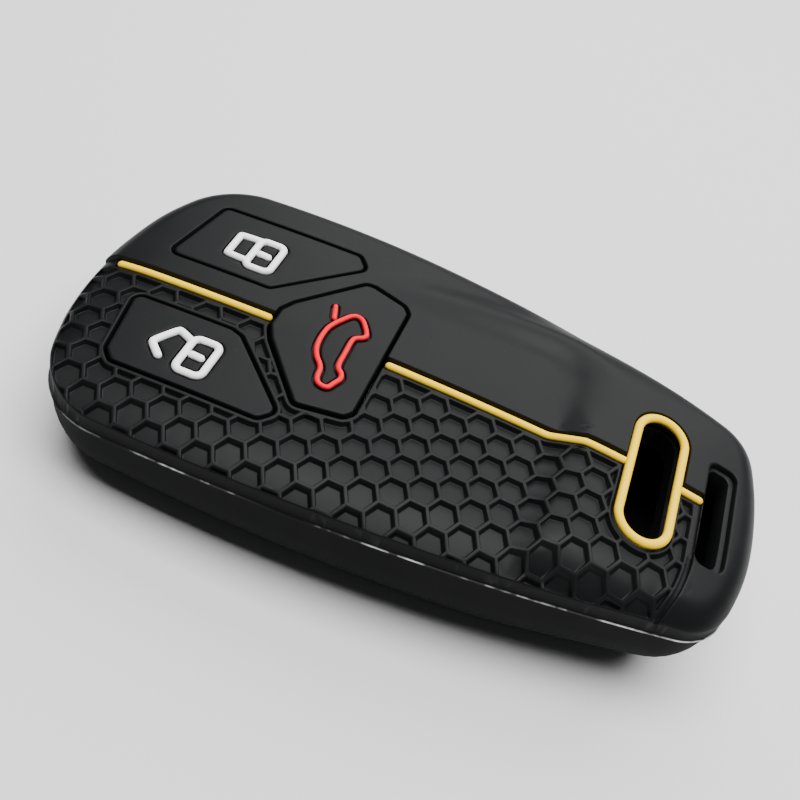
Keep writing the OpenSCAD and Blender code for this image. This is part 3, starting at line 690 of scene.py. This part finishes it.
def face_plan():
    """The net of the face: a line at every bend of its profiles, and dots where it is open"""
    plan = Plan()
    for inset in WALL_INS + SOFT_INS:
        plan.line(outline(inset), True)

    def plain(x, y):
        return (smooth_gap(x, y) > 0.2) & (depth_in(x, y) > 0.1)

    for inset in WIDE_INS:
        plan.kept_line(outline(inset), plain)
    honeycomb_lines(plan)
    for t in STEP_INS:
        y = STEP_Y + t
        start = PLAIN_C.x - math.sqrt(PLAIN_END_R**2 - y * y)
        plan.line(dense([(start, y), (SLOT_X0, y)]))
        turned = field_line(SMOOTH_GAP + t, SLOT_NEAR + STEP_START)
        plan.kept_line(turned, lambda x, y: depth_in(x, y) > -0.001, False)
    for t in GROOVE_OUTS:
        plan.kept_line(field_line(t, SLOT_NEAR + GROOVE_START), lambda x, y: depth_in(x, y) > DRAFT, False)
    for a, b in CHANNELS:
        for t in CHANNEL_OUTS:
            plan.line(dense([(a - t, STEP_Y), (a - t, CHANNEL_Y - t), (b + t, CHANNEL_Y - t), (b + t, STEP_Y)]))
    for core in PAD_CORES:
        for t in WELL_OUTS:
            plan.ring(core, PAD_CORNER + GAP + t)
    for t in SLOT_OUTS:
        plan.ring(SLOT_CORE, SLOT_CORNER + t)
    for t in HOLE_OUTS:
        plan.ring(HOLE_CORE, HOLE_CORNER + t)
    for out in [0.0] + [RIM_W + INLAY_GAP + t for t in RIM_OUTS]:
        plan.ring(WINDOW_CORE, WINDOW_W / 2 + out, ROUND_STEPS)

    def open_ground(x, y):
        good = (smooth_gap(x, y) > STEP_CLEAR) & (depth_in(x, y) > GRID_IN)
        for core in PAD_CORES:
            good &= pad_gap(core, x, y) > GAP + WELL_CLEAR
        return good & (slot_gap(x, y) > HOLE_CLEAR) & (window_gap(x, y) > RIM_W + HOLE_CLEAR)

    plan.dots(np.arange(GRID_X0, FINE_X, GRID), np.arange(STEP_Y + GRID_OFF, GRID_Y, GRID), open_ground)
    plan.dots(np.arange(FINE_X + 0.1, GRID_X1, FINE_GRID), np.arange(-GRID_Y, GRID_Y, FINE_GRID), open_ground)
    plan.dots(np.arange(CREASE_X0, CREASE_X1, CREASE_GRID), np.array(CREASE_ROWS), lambda x, y: x > 0)
    return plan


def face_solid_at(x, y):
    """Whether the face is solid there, and no hole or pad's well"""
    good = (depth_in(x, y) > CHORD_SLACK) & (window_gap(x, y) > EDGE_SLACK) & (hole_gap(x, y) > EDGE_SLACK)
    for core in PAD_CORES:
        good &= pad_gap(core, x, y) > GAP
    return good


def back_solid_at(x, y, inset):
    """Whether the back, or the pocket's floor, is solid there"""
    return (depth_in(x, y) > inset) & (slot_gap(x, y) > EDGE_SLACK) & (opening_gap(x, y) > EDGE_SLACK)


def lower_plan(insets, holes, outs, rims):
    """The net of the back, the floor or the ceiling, which meets the rims that are carried to it"""
    plan = Plan()

    def clear(x, y):
        return (slot_gap(x, y) > LOWER_CLEAR) & (opening_gap(x, y) > LOWER_CLEAR)

    for inset in insets:
        plan.kept_line(dense(outline(inset), True, 0.5), clear)
    for core, reach, steps in holes:
        for t in outs:
            plan.ring(core, reach + t, steps, step=2.0)
    for edge in rims:
        plan.line([(v.co.x, v.co.y) for v in edge.verts])
    return plan


def along_normal(co, inset, z):
    """A point of the outline, moved inwards along its normal"""
    side = -1 if co.y < 0 else 1
    p = Vector((co.x, abs(co.y)))
    best = None
    for c, r, a, b, _ in ARCS:
        t = math.atan2(p.y - c.y, p.x - c.x)
        if b - 1e-5 <= t <= a + 1e-5:
            off = abs(r - (p - c).length)
            if best is None or off < best[0]:
                best = (off, c, r)
    _, c, r = best
    q = c + (p - c).normalized() * (r - inset)
    return Vector((q.x, side * q.y, z))


def level_at(level, *spot):
    """A level at one place, as a plain number"""
    return float(level(*(np.float64(s) for s in spot)))


def dropped(bm, edges, level):
    """Carries a rim straight up or down to a level"""
    return pulled(bm, edges, lambda co: Vector((co.x, co.y, level_at(level, co.x, co.y))))


def add_mask(mesh, name, chosen):
    """A point attribute for the finish, 1 at the chosen points and 0 elsewhere"""
    mesh.attributes.new(name, "FLOAT", "POINT").data.foreach_set("value", chosen.astype(float))


def make_sleeve(finish):
    """Face, outer wall, back, pocket floor, pocket wall and pocket ceiling, one closed skin"""
    bm = bmesh.new()
    top = face_plan().sheet(bm, face_level, face_solid_at)

    rim = rim_at(top, depth_in, 0.0)
    for inset, lower in LIP_STEPS:
        rim = pulled(bm, rim, lambda co: along_normal(co, inset, level_at(parting_level, co.x) - lower))
    rim = pulled(bm, rim, lambda co: along_normal(co, DRAFT, 0.0))
    for v in {v for e in rim for v in e.verts}:
        v.co.z = level_at(foot_rise, v.co.x)
    holes = [(SLOT_CORE, SLOT_CORNER, 8), (OPENING_CORE, OPENING_R, 16)]
    back_plan = lower_plan([DRAFT + inset for inset in FOOT_INS[1:]], holes, BACK_OUTS, rim)
    back = back_plan.sheet(bm, back_level, lambda x, y: back_solid_at(x, y, DRAFT + RIM_SLACK))

    rim = dropped(bm, rim_at(back, slot_gap) + rim_at(back, opening_gap), floor_level)
    floor_plan = lower_plan([WALL + inset for inset in FOOT_INS[:-1]], [], [], rim)
    floor = floor_plan.sheet(bm, floor_level, lambda x, y: back_solid_at(x, y, WALL + RIM_SLACK))

    rim = dropped(bm, rim_at(floor, depth_in, WALL), ceiling_level)
    for core in PAD_CORES:
        rim += dropped(bm, rim_at(top, lambda x, y: pad_gap(core, x, y), GAP), ceiling_level)
    rim += dropped(bm, rim_at(top, hole_gap) + rim_at(top, window_gap), ceiling_level)
    ceiling_plan = lower_plan([], [], [], rim)

    def inside(x, y, inset):
        return face_solid_at(x, y) & (depth_in(x, y) > WALL + inset)

    xs = np.arange(-CEILING_X, CEILING_X, CEILING_GRID)
    ys = np.arange(-CEILING_Y, CEILING_Y + 0.1, CEILING_GRID)
    ceiling_plan.dots(xs, ys, lambda x, y: inside(x, y, CEILING_CLEAR))
    ceiling_plan.sheet(bm, ceiling_level, lambda x, y: inside(x, y, RIM_SLACK))

    bmesh.ops.remove_doubles(bm, verts=bm.verts, dist=WELD)
    bmesh.ops.holes_fill(bm, edges=[e for e in bm.edges if e.is_boundary], sides=3)
    bmesh.ops.recalc_face_normals(bm, faces=bm.faces)
    mesh = piece("sleeve_moulding", bm, "sleeve", ["sleeve"], finish).data
    spots = np.empty(len(mesh.vertices) * 3)
    mesh.vertices.foreach_get("co", spots)
    x, y, z = spots.reshape(-1, 3).T / MM
    above = z - parting_level(x)
    # Band along the parting line that gets a painted highlight in the finish
    add_mask(mesh, "painted_highlight", (np.abs(above) < PAINTED_HIGHLIGHT_W) & (depth_in(x, y) < PAINTED_HIGHLIGHT_W))
    add_mask(mesh, "blasted", above < LIP_UPS[2] + BLASTED_OVER)


# Pads with their icons


def stroke_gap(points, closed, half, x, y):
    """Distance outside a line of even width"""
    return np.min([straight_gap(p, q, x, y) for p, q in stretches(points, closed)], axis=0) - half


def softened(points, closed, rounds=2):
    """Cuts the corners of a run of points until they are round"""
    for _ in range(rounds):
        out = [] if closed else [points[0]]
        for p, q in stretches(points, closed):
            for s in (0.25, 0.75):
                out.append((p[0] + (q[0] - p[0]) * s, p[1] + (q[1] - p[1]) * s))
        points = out if closed else [points[0]] + out[2:-1] + [points[-1]]
    return points


LEAST_TURN = 0.3  # keeps the shifted line from running far out at a tight corner


def offset(points, closed, d):
    """A run of points shifted sideways by d"""
    out = []
    n = len(points)
    for i, p in enumerate(points):
        a = points[i - 1] if closed or i else p
        b = points[(i + 1) % n] if closed or i < n - 1 else p
        u = Vector((p[0] - a[0], p[1] - a[1])) if a != p else Vector((b[0] - p[0], b[1] - p[1]))
        v = Vector((b[0] - p[0], b[1] - p[1])) if b != p else u
        u, v = u.normalized(), v.normalized()
        m, k = Vector((-u.y, u.x)), Vector((-v.y, v.x))
        out.append(tuple(Vector(p) + d * (m + k) / max(1 + m.dot(k), LEAST_TURN)))
    return out


def around(points, reach):
    """Outline round an open run of points, with half-round ends"""
    left, right = offset(points, False, reach), offset(points, False, -reach)

    def cap(end, start):
        c = ((start[0] + end[0]) / 2, (start[1] + end[1]) / 2)
        a = math.atan2(start[1] - c[1], start[0] - c[0])
        turns = [a - math.pi * k / 6 for k in range(1, 6)]
        return [(c[0] + reach * math.cos(t), c[1] + reach * math.sin(t)) for t in turns]

    return left + cap(right[-1], left[-1]) + right[::-1] + cap(left[0], right[0])


# Lines of the icons, in shares of their length and width; the keyhole's is in millimetres
SHACKLE = [(0, -0.37), (-0.98, -0.34), (-1, -0.3), (-1, 0.42), (-0.98, 0.46), (0, 0.48)]
OPEN_SHACKLE = [(0, 0.38), (-0.62, 0.57), (-0.76, 0.56), (-1.5, 0.03), (-1.5, -0.05), (-0.8, -0.35)]
KEYHOLE = [(-0.72, 0.1), (0.38, 0.0)]
BOOT_OUTLINE = [
    (0.2, 0.86), (0.41, 1), (0.67, 1), (0.89, 0.88), (1, 0.8), (0.95, 0.75), (0.76, 0.71), (0.72, 0.65),
    (0.74, 0.5), (0.74, 0.28), (0.93, 0.23), (0.98, 0.16), (0.87, 0.08), (0.8, 0), (0.54, 0.01), (0.43, 0.08),
    (0.41, 0.21), (0.13, 0.32), (0, 0.46), (0, 0.68), (0.1, 0.79),
]
BOOT_LID = [(0.02, 0.86), (-0.11, 1.02)]
ICON_OUTS = [-0.1, 0.16, 0.22, 0.28, 0.38]
ICON_DROPS = [0.4, 0.4, 0.08, 0.01, 0.0]
EDGE_INS = [0.0, 0.05, 0.12, 0.22, 0.36]
EDGE_DROPS = [0.26, 0.12, 0.04, 0.0, 0.0]
PAD_GRID, PAD_CLEAR, ICON_CLEAR, SIDE_DROP = 0.9, 0.6, 0.5, 1.2


def padlock_lines(x, y, shackle):
    """Case, shackle and keyhole of a padlock, each as a line, whether it is closed, and half its width"""
    case = shell(box_core(x, y, CASE_L / 2 - CASE_R, CASE_W / 2 - CASE_R), CASE_R)
    bow = [(x + (u * SHACKLE_L + SHACKLE_X if u else -CASE_L / 2), y + v * SHACKLE_W) for u, v in shackle]
    keyhole = [(x + u, y + v) for u, v in KEYHOLE]
    return [(case, True, LINE), (softened(bow, False), False, LINE), (keyhole, False, LINE)]


def boot_lines():
    """The car's outline and its lid"""
    loop, lid = (
        [(BOOT_ICON_X + u * BOOT_ICON_L, BOOT_ICON_Y + v * BOOT_ICON_W) for u, v in shares]
        for shares in (BOOT_OUTLINE, BOOT_LID)
    )
    return [(softened(loop, True), True, BOOT_LINE), (lid, False, BOOT_LINE)]


def low_pad_top(x, y):
    return base_level(x) + LOW_PAD_UP


def high_pad_top(x, y):
    return base_level(x) + STEP


def boot_pad_top(x, y):
    """Flush with the smooth half, and lower towards the honeycomb"""
    return base_level(x) + STEP - BOOT_DIP * ease((BOOT_DIP_Y - y) / BOOT_DIP_RUN)


def make_pad(word, core, top, strokes, finish):
    """A pad with softened edges and a recess along each line of its icon"""
    plan = Plan()
    for t in EDGE_INS:
        plan.ring(core, PAD_CORNER - t)
    for points, closed, half in strokes:
        for t in ICON_OUTS:
            if closed:
                plan.line(offset(points, True, half + t), True)
                plan.line(offset(points, True, -half - t), True)
            else:
                plan.line(around(points, half + t), True)

    def clear(x, y):
        good = pad_gap(core, x, y) < -PAD_CLEAR
        for points, closed, half in strokes:
            good &= stroke_gap(points, closed, half, x, y) > ICON_CLEAR
        return good

    xs, ys = zip(*core)
    plan.dots(np.arange(min(xs), max(xs), PAD_GRID), np.arange(min(ys), max(ys), PAD_GRID), clear)

    def level(x, y):
        z = top(x, y) - np.interp(-pad_gap(core, x, y), EDGE_INS, EDGE_DROPS)
        gaps = [stroke_gap(points, closed, half, x, y) for points, closed, half in strokes]
        return z - np.interp(np.min(gaps, axis=0), ICON_OUTS, ICON_DROPS)

    bm = bmesh.new()
    rim = plan.sheet(bm, level, lambda x, y: pad_gap(core, x, y) < -EDGE_SLACK)
    rim = pulled(bm, rim, lambda co: Vector((co.x, co.y, co.z - SIDE_DROP)))
    rim = dropped(bm, rim, ceiling_level)
    bmesh.ops.contextual_create(bm, geom=rim)
    bmesh.ops.remove_doubles(bm, verts=bm.verts, dist=WELD)
    bmesh.ops.recalc_face_normals(bm, faces=bm.faces)
    piece(word + "_button", bm, word + "_button", [word + "_pad"], finish)


BEAD_STEP, BEAD_WELD = 0.45, 0.002
END_SHARES, END_LEAST = (0.0, 0.08, 0.25, 0.5, 0.75), 0.04  # rings of a bead's round end, and its smallest


def make_bead(node_name, body, line, level, finish, ends=(True, True)):
    """A round bead along a line in plan, lifted to level"""
    points, closed, half = line
    points = dense(points, closed, BEAD_STEP)
    radii = [1.0] * len(points)
    if not closed:
        head, tail = Vector(points[0]), Vector(points[-1])
        first, last = (Vector(points[1]) - head).normalized(), (Vector(points[-2]) - tail).normalized()
        before = [tuple(head - first * half * (1 - s)) for s in END_SHARES]
        after = [tuple(tail - last * half * (1 - s)) for s in END_SHARES[::-1]]
        curve = [max(END_LEAST, math.sqrt(1 - (1 - s) ** 2)) for s in END_SHARES]
        points = (before if ends[0] else []) + points + (after if ends[1] else [])
        radii = (curve if ends[0] else []) + radii + (curve[::-1] if ends[1] else [])
    data = bpy.data.curves.new(node_name + "_line", "CURVE")
    data.dimensions = "3D"
    data.twist_mode = "Z_UP"
    data.bevel_depth = half
    data.bevel_resolution = 4
    data.use_fill_caps = True
    spline = data.splines.new("POLY")
    spline.points.add(len(points) - 1)
    for spot, (x, y), r in zip(spline.points, points, radii):
        spot.co = (x, y, 0, 1)
        spot.radius = r
    spline.use_cyclic_u = closed
    helper = placed(node_name + "_line", data)
    bm = bmesh.new()
    bm.from_mesh(helper.to_mesh())
    bpy.data.objects.remove(helper)
    bpy.data.curves.remove(data)
    bmesh.ops.remove_doubles(bm, verts=bm.verts, dist=BEAD_WELD)
    bmesh.ops.recalc_face_normals(bm, faces=bm.faces)
    lift = level(np.array([v.co.x for v in bm.verts]), np.array([v.co.y for v in bm.verts]))
    for v, z in zip(bm.verts, lift.tolist()):
        v.co.z += z
    piece(node_name + "_bead", bm, body, [node_name], finish)


# Finishes


def group(name, inputs, outputs):
    """A shader node group of plain values"""
    tree = bpy.data.node_groups.new(name, "ShaderNodeTree")
    for label, value in inputs:
        socket = tree.interface.new_socket(name=label, in_out="INPUT", socket_type="NodeSocketFloat")
        socket.default_value = value
    for label in outputs:
        tree.interface.new_socket(name=label, in_out="OUTPUT", socket_type="NodeSocketFloat")
    return tree, tree.nodes.new("NodeGroupInput"), tree.nodes.new("NodeGroupOutput")


def node(tree, kind, links=None, **values):
    """A shader node with its own values, then its inputs linked or set"""
    made = tree.nodes.new(kind)
    for key, value in values.items():
        setattr(made, key, value)
    for socket, source in (links or {}).items():
        if hasattr(source, "is_output"):
            tree.links.new(source, made.inputs[socket])
        else:
            made.inputs[socket].default_value = source
    return made


def place_in(tree):
    return tree.nodes.new("ShaderNodeTexCoord").outputs["Object"]


def noise(tree, place, scale, detail, roughness=0.5):
    settings = {"Vector": place, "Scale": scale, "Detail": detail, "Roughness": roughness}
    return node(tree, "ShaderNodeTexNoise", settings).outputs["Fac"]


def combined(tree, operation, a, b):
    return node(tree, "ShaderNodeMath", {0: a, 1: b}, operation=operation).outputs["Value"]


def spread(tree, value, start, end, low=0.0, high=1.0):
    """A value that runs from low to high while the given one runs from start to end"""
    settings = {"Value": value, "From Min": start, "From Max": end, "To Min": low, "To Max": high}
    return node(tree, "ShaderNodeMapRange", settings).outputs["Result"]


def blended(tree, factor, a, b):
    """A colour between two"""
    return node(tree, "ShaderNodeMix", {"Factor": factor, "A": a, "B": b}, data_type="RGBA").outputs["Result"]


def moulded_skin():
    """Fine grain and slow tone changes of a moulded silicone skin"""
    tree, given, out = group("moulded_skin", [("Grain Scale", 9000.0), ("Tone Scale", 120.0)], ["Grain", "Tone"])
    place = place_in(tree)
    fine = noise(tree, place, given.outputs["Grain Scale"], detail=3.0, roughness=0.6)
    slow = noise(tree, place, given.outputs["Tone Scale"], detail=4.0, roughness=0.55)
    tree.links.new(fine, out.inputs["Grain"])
    tree.links.new(slow, out.inputs["Tone"])
    return tree


LINT_FROM = 0.56  # dust lies where a slow noise is over this


def lint():
    """Sparse specks of dust"""
    tree, given, out = group("lint", [("Speck Scale", 900.0), ("Speck Size", 0.1)], ["Specks"])
    place = place_in(tree)
    spots = node(tree, "ShaderNodeTexVoronoi", {"Vector": place, "Scale": given.outputs["Speck Scale"]})
    small = combined(tree, "LESS_THAN", spots.outputs["Distance"], given.outputs["Speck Size"])
    here = combined(tree, "GREATER_THAN", noise(tree, place, scale=260.0, detail=2.0), LINT_FROM)
    tree.links.new(combined(tree, "MULTIPLY", small, here), out.inputs["Specks"])
    return tree


def parting_glint():
    """Painted highlight along the parting line, standing in for the light that its thin ledge catches, in broken
    stretches
    """
    tree, given, out = group("parting_glint", [("Break Scale", 350.0)], ["Glint"])
    line = node(tree, "ShaderNodeAttribute", attribute_name="painted_highlight")
    place = place_in(tree)
    breaks = spread(tree, noise(tree, place, given.outputs["Break Scale"], detail=3.0), 0.45, 0.62, low=0.05)
    # Slow noise that fades the painted highlight in and out along the line
    lit_stretches = spread(tree, noise(tree, place, scale=45.0, detail=1.0), 0.4, 0.55)
    bright = combined(tree, "MULTIPLY", breaks, lit_stretches)
    tree.links.new(combined(tree, "MULTIPLY", line.outputs["Fac"], bright), out.inputs["Glint"])
    return tree


SKIN, LINT, GLINT = moulded_skin(), lint(), parting_glint()
BLASTED_ROUGHER = 0.4  # how much rougher the mould left the outer wall than the face
TONE_START, TONE_END = 0.3, 0.7  # most of the slow noise lies between these


def blank_finish(name):
    mat = bpy.data.materials.new(name)
    mat.use_nodes = True
    return mat, mat.node_tree, mat.node_tree.nodes["Principled BSDF"]


def silicone(name, tones, roughness, grain, specks, shine, painted_highlight=None):
    """A silicone finish between two tones, with a grain, a little dust and, if given, a painted highlight on the
    parting line
    """
    mat, tree, shader = blank_finish(name)
    skin = node(tree, "ShaderNodeGroup", node_tree=SKIN)
    dust = node(tree, "ShaderNodeGroup", {"Speck Size": specks[0]}, node_tree=LINT)
    colour = blended(tree, skin.outputs["Tone"], (*tones[0], 1), (*tones[1], 1))
    colour = blended(tree, dust.outputs["Specks"], colour, (*specks[1], 1))
    # Painted highlight: a light grey laid on the parting line's band in broken stretches
    if painted_highlight:
        glint = node(tree, "ShaderNodeGroup", node_tree=GLINT)
        colour = blended(tree, glint.outputs["Glint"], colour, (*painted_highlight, 1))
    blasted = node(tree, "ShaderNodeAttribute", attribute_name="blasted").outputs["Fac"]
    rough = spread(tree, skin.outputs["Tone"], TONE_START, TONE_END, *roughness)
    rough = combined(tree, "ADD", rough, combined(tree, "MULTIPLY", blasted, BLASTED_ROUGHER))
    settings = {"Height": skin.outputs["Grain"], "Strength": grain[0], "Distance": grain[1] * MM}
    bump = node(tree, "ShaderNodeBump", settings).outputs["Normal"]
    for socket, source in (("Base Color", colour), ("Roughness", rough), ("Normal", bump)):
        tree.links.new(source, shader.inputs[socket])
    shader.inputs["Specular IOR Level"].default_value = shine
    return mat


BLACK = silicone(
    "black_silicone_matt",
    tones=((0.0045, 0.0047, 0.0050), (0.0065, 0.0068, 0.0073)),
    roughness=(0.40, 0.47),
    grain=(0.25, 0.02),
    specks=(0.045, (0.04, 0.04, 0.04)),
    shine=0.1,
    # colour of the painted highlight on the parting line
    painted_highlight=(0.6, 0.6, 0.62),
)
YELLOW = silicone(
    "yellow_silicone_satin",
    tones=((0.88, 0.57, 0.0), (0.92, 0.61, 0.0)),
    roughness=(0.44, 0.52),
    grain=(0.15, 0.015),
    specks=(0.02, (0.5, 0.4, 0.15)),
    shine=0.1,
)
WHITE = silicone(
    "white_silicone_satin",
    tones=((0.90, 0.90, 0.89), (0.95, 0.95, 0.94)),
    roughness=(0.38, 0.46),
    grain=(0.15, 0.015),
    specks=(0.02, (0.5, 0.5, 0.48)),
    shine=0.4,
)
RED = silicone(
    "red_silicone_satin",
    tones=((0.66, 0.0, 0.012), (0.72, 0.004, 0.018)),
    roughness=(0.42, 0.50),
    grain=(0.15, 0.015),
    specks=(0.02, (0.4, 0.1, 0.1)),
    shine=0.12,
)

# Camera at the photograph's angle, floor and studio light

# The camera's turn as an axis times an angle, its place in millimetres, and its focal length and picture in pixels
CAMERA_TURN = Vector((2.35766643, 0.54395369, 0.13825462))
CAMERA_AT = Vector((3.770, -72.561, 94.087))
FOCAL, PICTURE_W, SENSOR_W = 925.0, 800.0, 36.0
FLOOR_HALF, FLOOR_TONE, FLOOR_ROUGH = 3.0, 0.62, 0.7
FLOOR_DROP = 0.02  # keeps the floor and the back out of one plane


def make_camera():
    turn = Matrix.Rotation(CAMERA_TURN.length, 3, CAMERA_TURN)
    data = bpy.data.cameras.new("photo_camera")
    data.sensor_width = SENSOR_W
    data.lens = FOCAL / PICTURE_W * SENSOR_W
    data.clip_start = 0.001
    cam = placed("photo_camera", data)
    axes = Matrix((turn[0], -turn[1], -turn[2])).transposed().to_4x4()
    cam.matrix_world = Matrix.Translation(CAMERA_AT * MM) @ axes
    bpy.context.scene.camera = cam


def make_floor():
    """A pale floor that is clear from below"""
    bm = bmesh.new()
    bmesh.ops.create_grid(bm, x_segments=1, y_segments=1, size=FLOOR_HALF)
    mesh = bpy.data.meshes.new("floor")
    bm.to_mesh(mesh)
    bm.free()
    mat, tree, shader = blank_finish("pale_floor")
    shader.inputs["Base Color"].default_value = (FLOOR_TONE, FLOOR_TONE, FLOOR_TONE, 1)
    shader.inputs["Roughness"].default_value = FLOOR_ROUGH
    side = tree.nodes.new("ShaderNodeNewGeometry").outputs["Backfacing"]
    clear = tree.nodes.new("ShaderNodeBsdfTransparent").outputs["BSDF"]
    mix = node(tree, "ShaderNodeMixShader", {"Fac": side, 1: shader.outputs["BSDF"], 2: clear})
    tree.links.new(mix.outputs["Shader"], tree.nodes["Material Output"].inputs["Surface"])
    mesh.materials.append(mat)
    obj = placed("floor", mesh)
    obj.data.transform(Matrix.Translation((0, 0, -FLOOR_DROP * MM)))


def softbox(name, spot, aim, size, power):
    data = bpy.data.lights.new(name, "AREA")
    data.shape = "RECTANGLE"
    data.size, data.size_y = size
    data.energy = power
    lamp = placed(name, data)
    spot, aim = Vector(spot), Vector(aim)
    lamp.matrix_world = Matrix.Translation(spot) @ (aim - spot).to_track_quat("-Z", "Y").to_matrix().to_4x4()


def make_light():
    softbox("softbox_back", spot=(0.03, 0.42, 0.42), aim=(0, 0, 0.01), size=(0.7, 0.45), power=5.0)
    softbox("softbox_top", spot=(0.05, 0.02, 0.55), aim=(0.05, 0.02, 0.01), size=(0.7, 0.25), power=8.0)
    world = bpy.data.worlds.new("studio")
    world.use_nodes = True
    ground = world.node_tree.nodes["Background"]
    ground.inputs["Color"].default_value = (0.9, 0.92, 0.95, 1)
    ground.inputs["Strength"].default_value = 0.06
    bpy.context.scene.world = world


make_camera()
make_floor()
make_light()
make_sleeve(BLACK)

# Pads, then their icons as beads: each icon's parts, slot, finish and height over its pad's top
PADLOCK_INLAY = (("case", "shackle", "keyhole"), "white_silicone", WHITE, LINE_UP)
BOOT_INLAY = (("outline", "lid"), "red_silicone", RED, BOOT_LINE_UP)
PADS = [
    ("lock", LOCK_CORE, high_pad_top, padlock_lines(*LOCK_AT, SHACKLE), PADLOCK_INLAY),
    ("unlock", UNLOCK_CORE, low_pad_top, padlock_lines(*UNLOCK_AT, OPEN_SHACKLE), PADLOCK_INLAY),
    ("boot", BOOT_CORE, boot_pad_top, boot_lines(), BOOT_INLAY),
]
for word, core, top, lines, _ in PADS:
    make_pad(word, core, top, lines, BLACK)
for word, _, top, lines, (parts, slot, finish, up) in PADS:
    for part, line in zip(parts, lines):
        make_bead(f"{word}_{part}", word + "_button", line, lambda x, y: top(x, y) + up, finish)


# Yellow beads and the window's rim


def stripe_level(x, y):
    return ridge_level(x, 0 * x) - end_dip(x, 0 * x) + STRIPE_UP - BEAD


def rim_level(x, y):
    return ring_level(x, 0 * x) + STEP + RIM_UP - RIM_W / 2


RIM_REACH = (WINDOW_W + RIM_W) / 2
for name, start, end, ends in (
    ("stripe_left", LEFT_BEAD[0] + BEAD, LEFT_BEAD[1] - BEAD, (True, True)),
    ("stripe_middle", MIDDLE_BEAD + BEAD, WINDOW_X - RIM_REACH, (True, False)),
    ("stripe_tail", WINDOW_X + RIM_REACH, TAIL_END - BEAD, (False, True)),
):
    line = ([(start, STRIPE_Y), (end, STRIPE_Y)], False, BEAD)
    make_bead(name, "sleeve", line, stripe_level, YELLOW, ends)
rim_line = (shell(WINDOW_CORE, RIM_REACH, ROUND_STEPS), True, RIM_W / 2)
make_bead("window_rim", "sleeve", rim_line, rim_level, YELLOW)
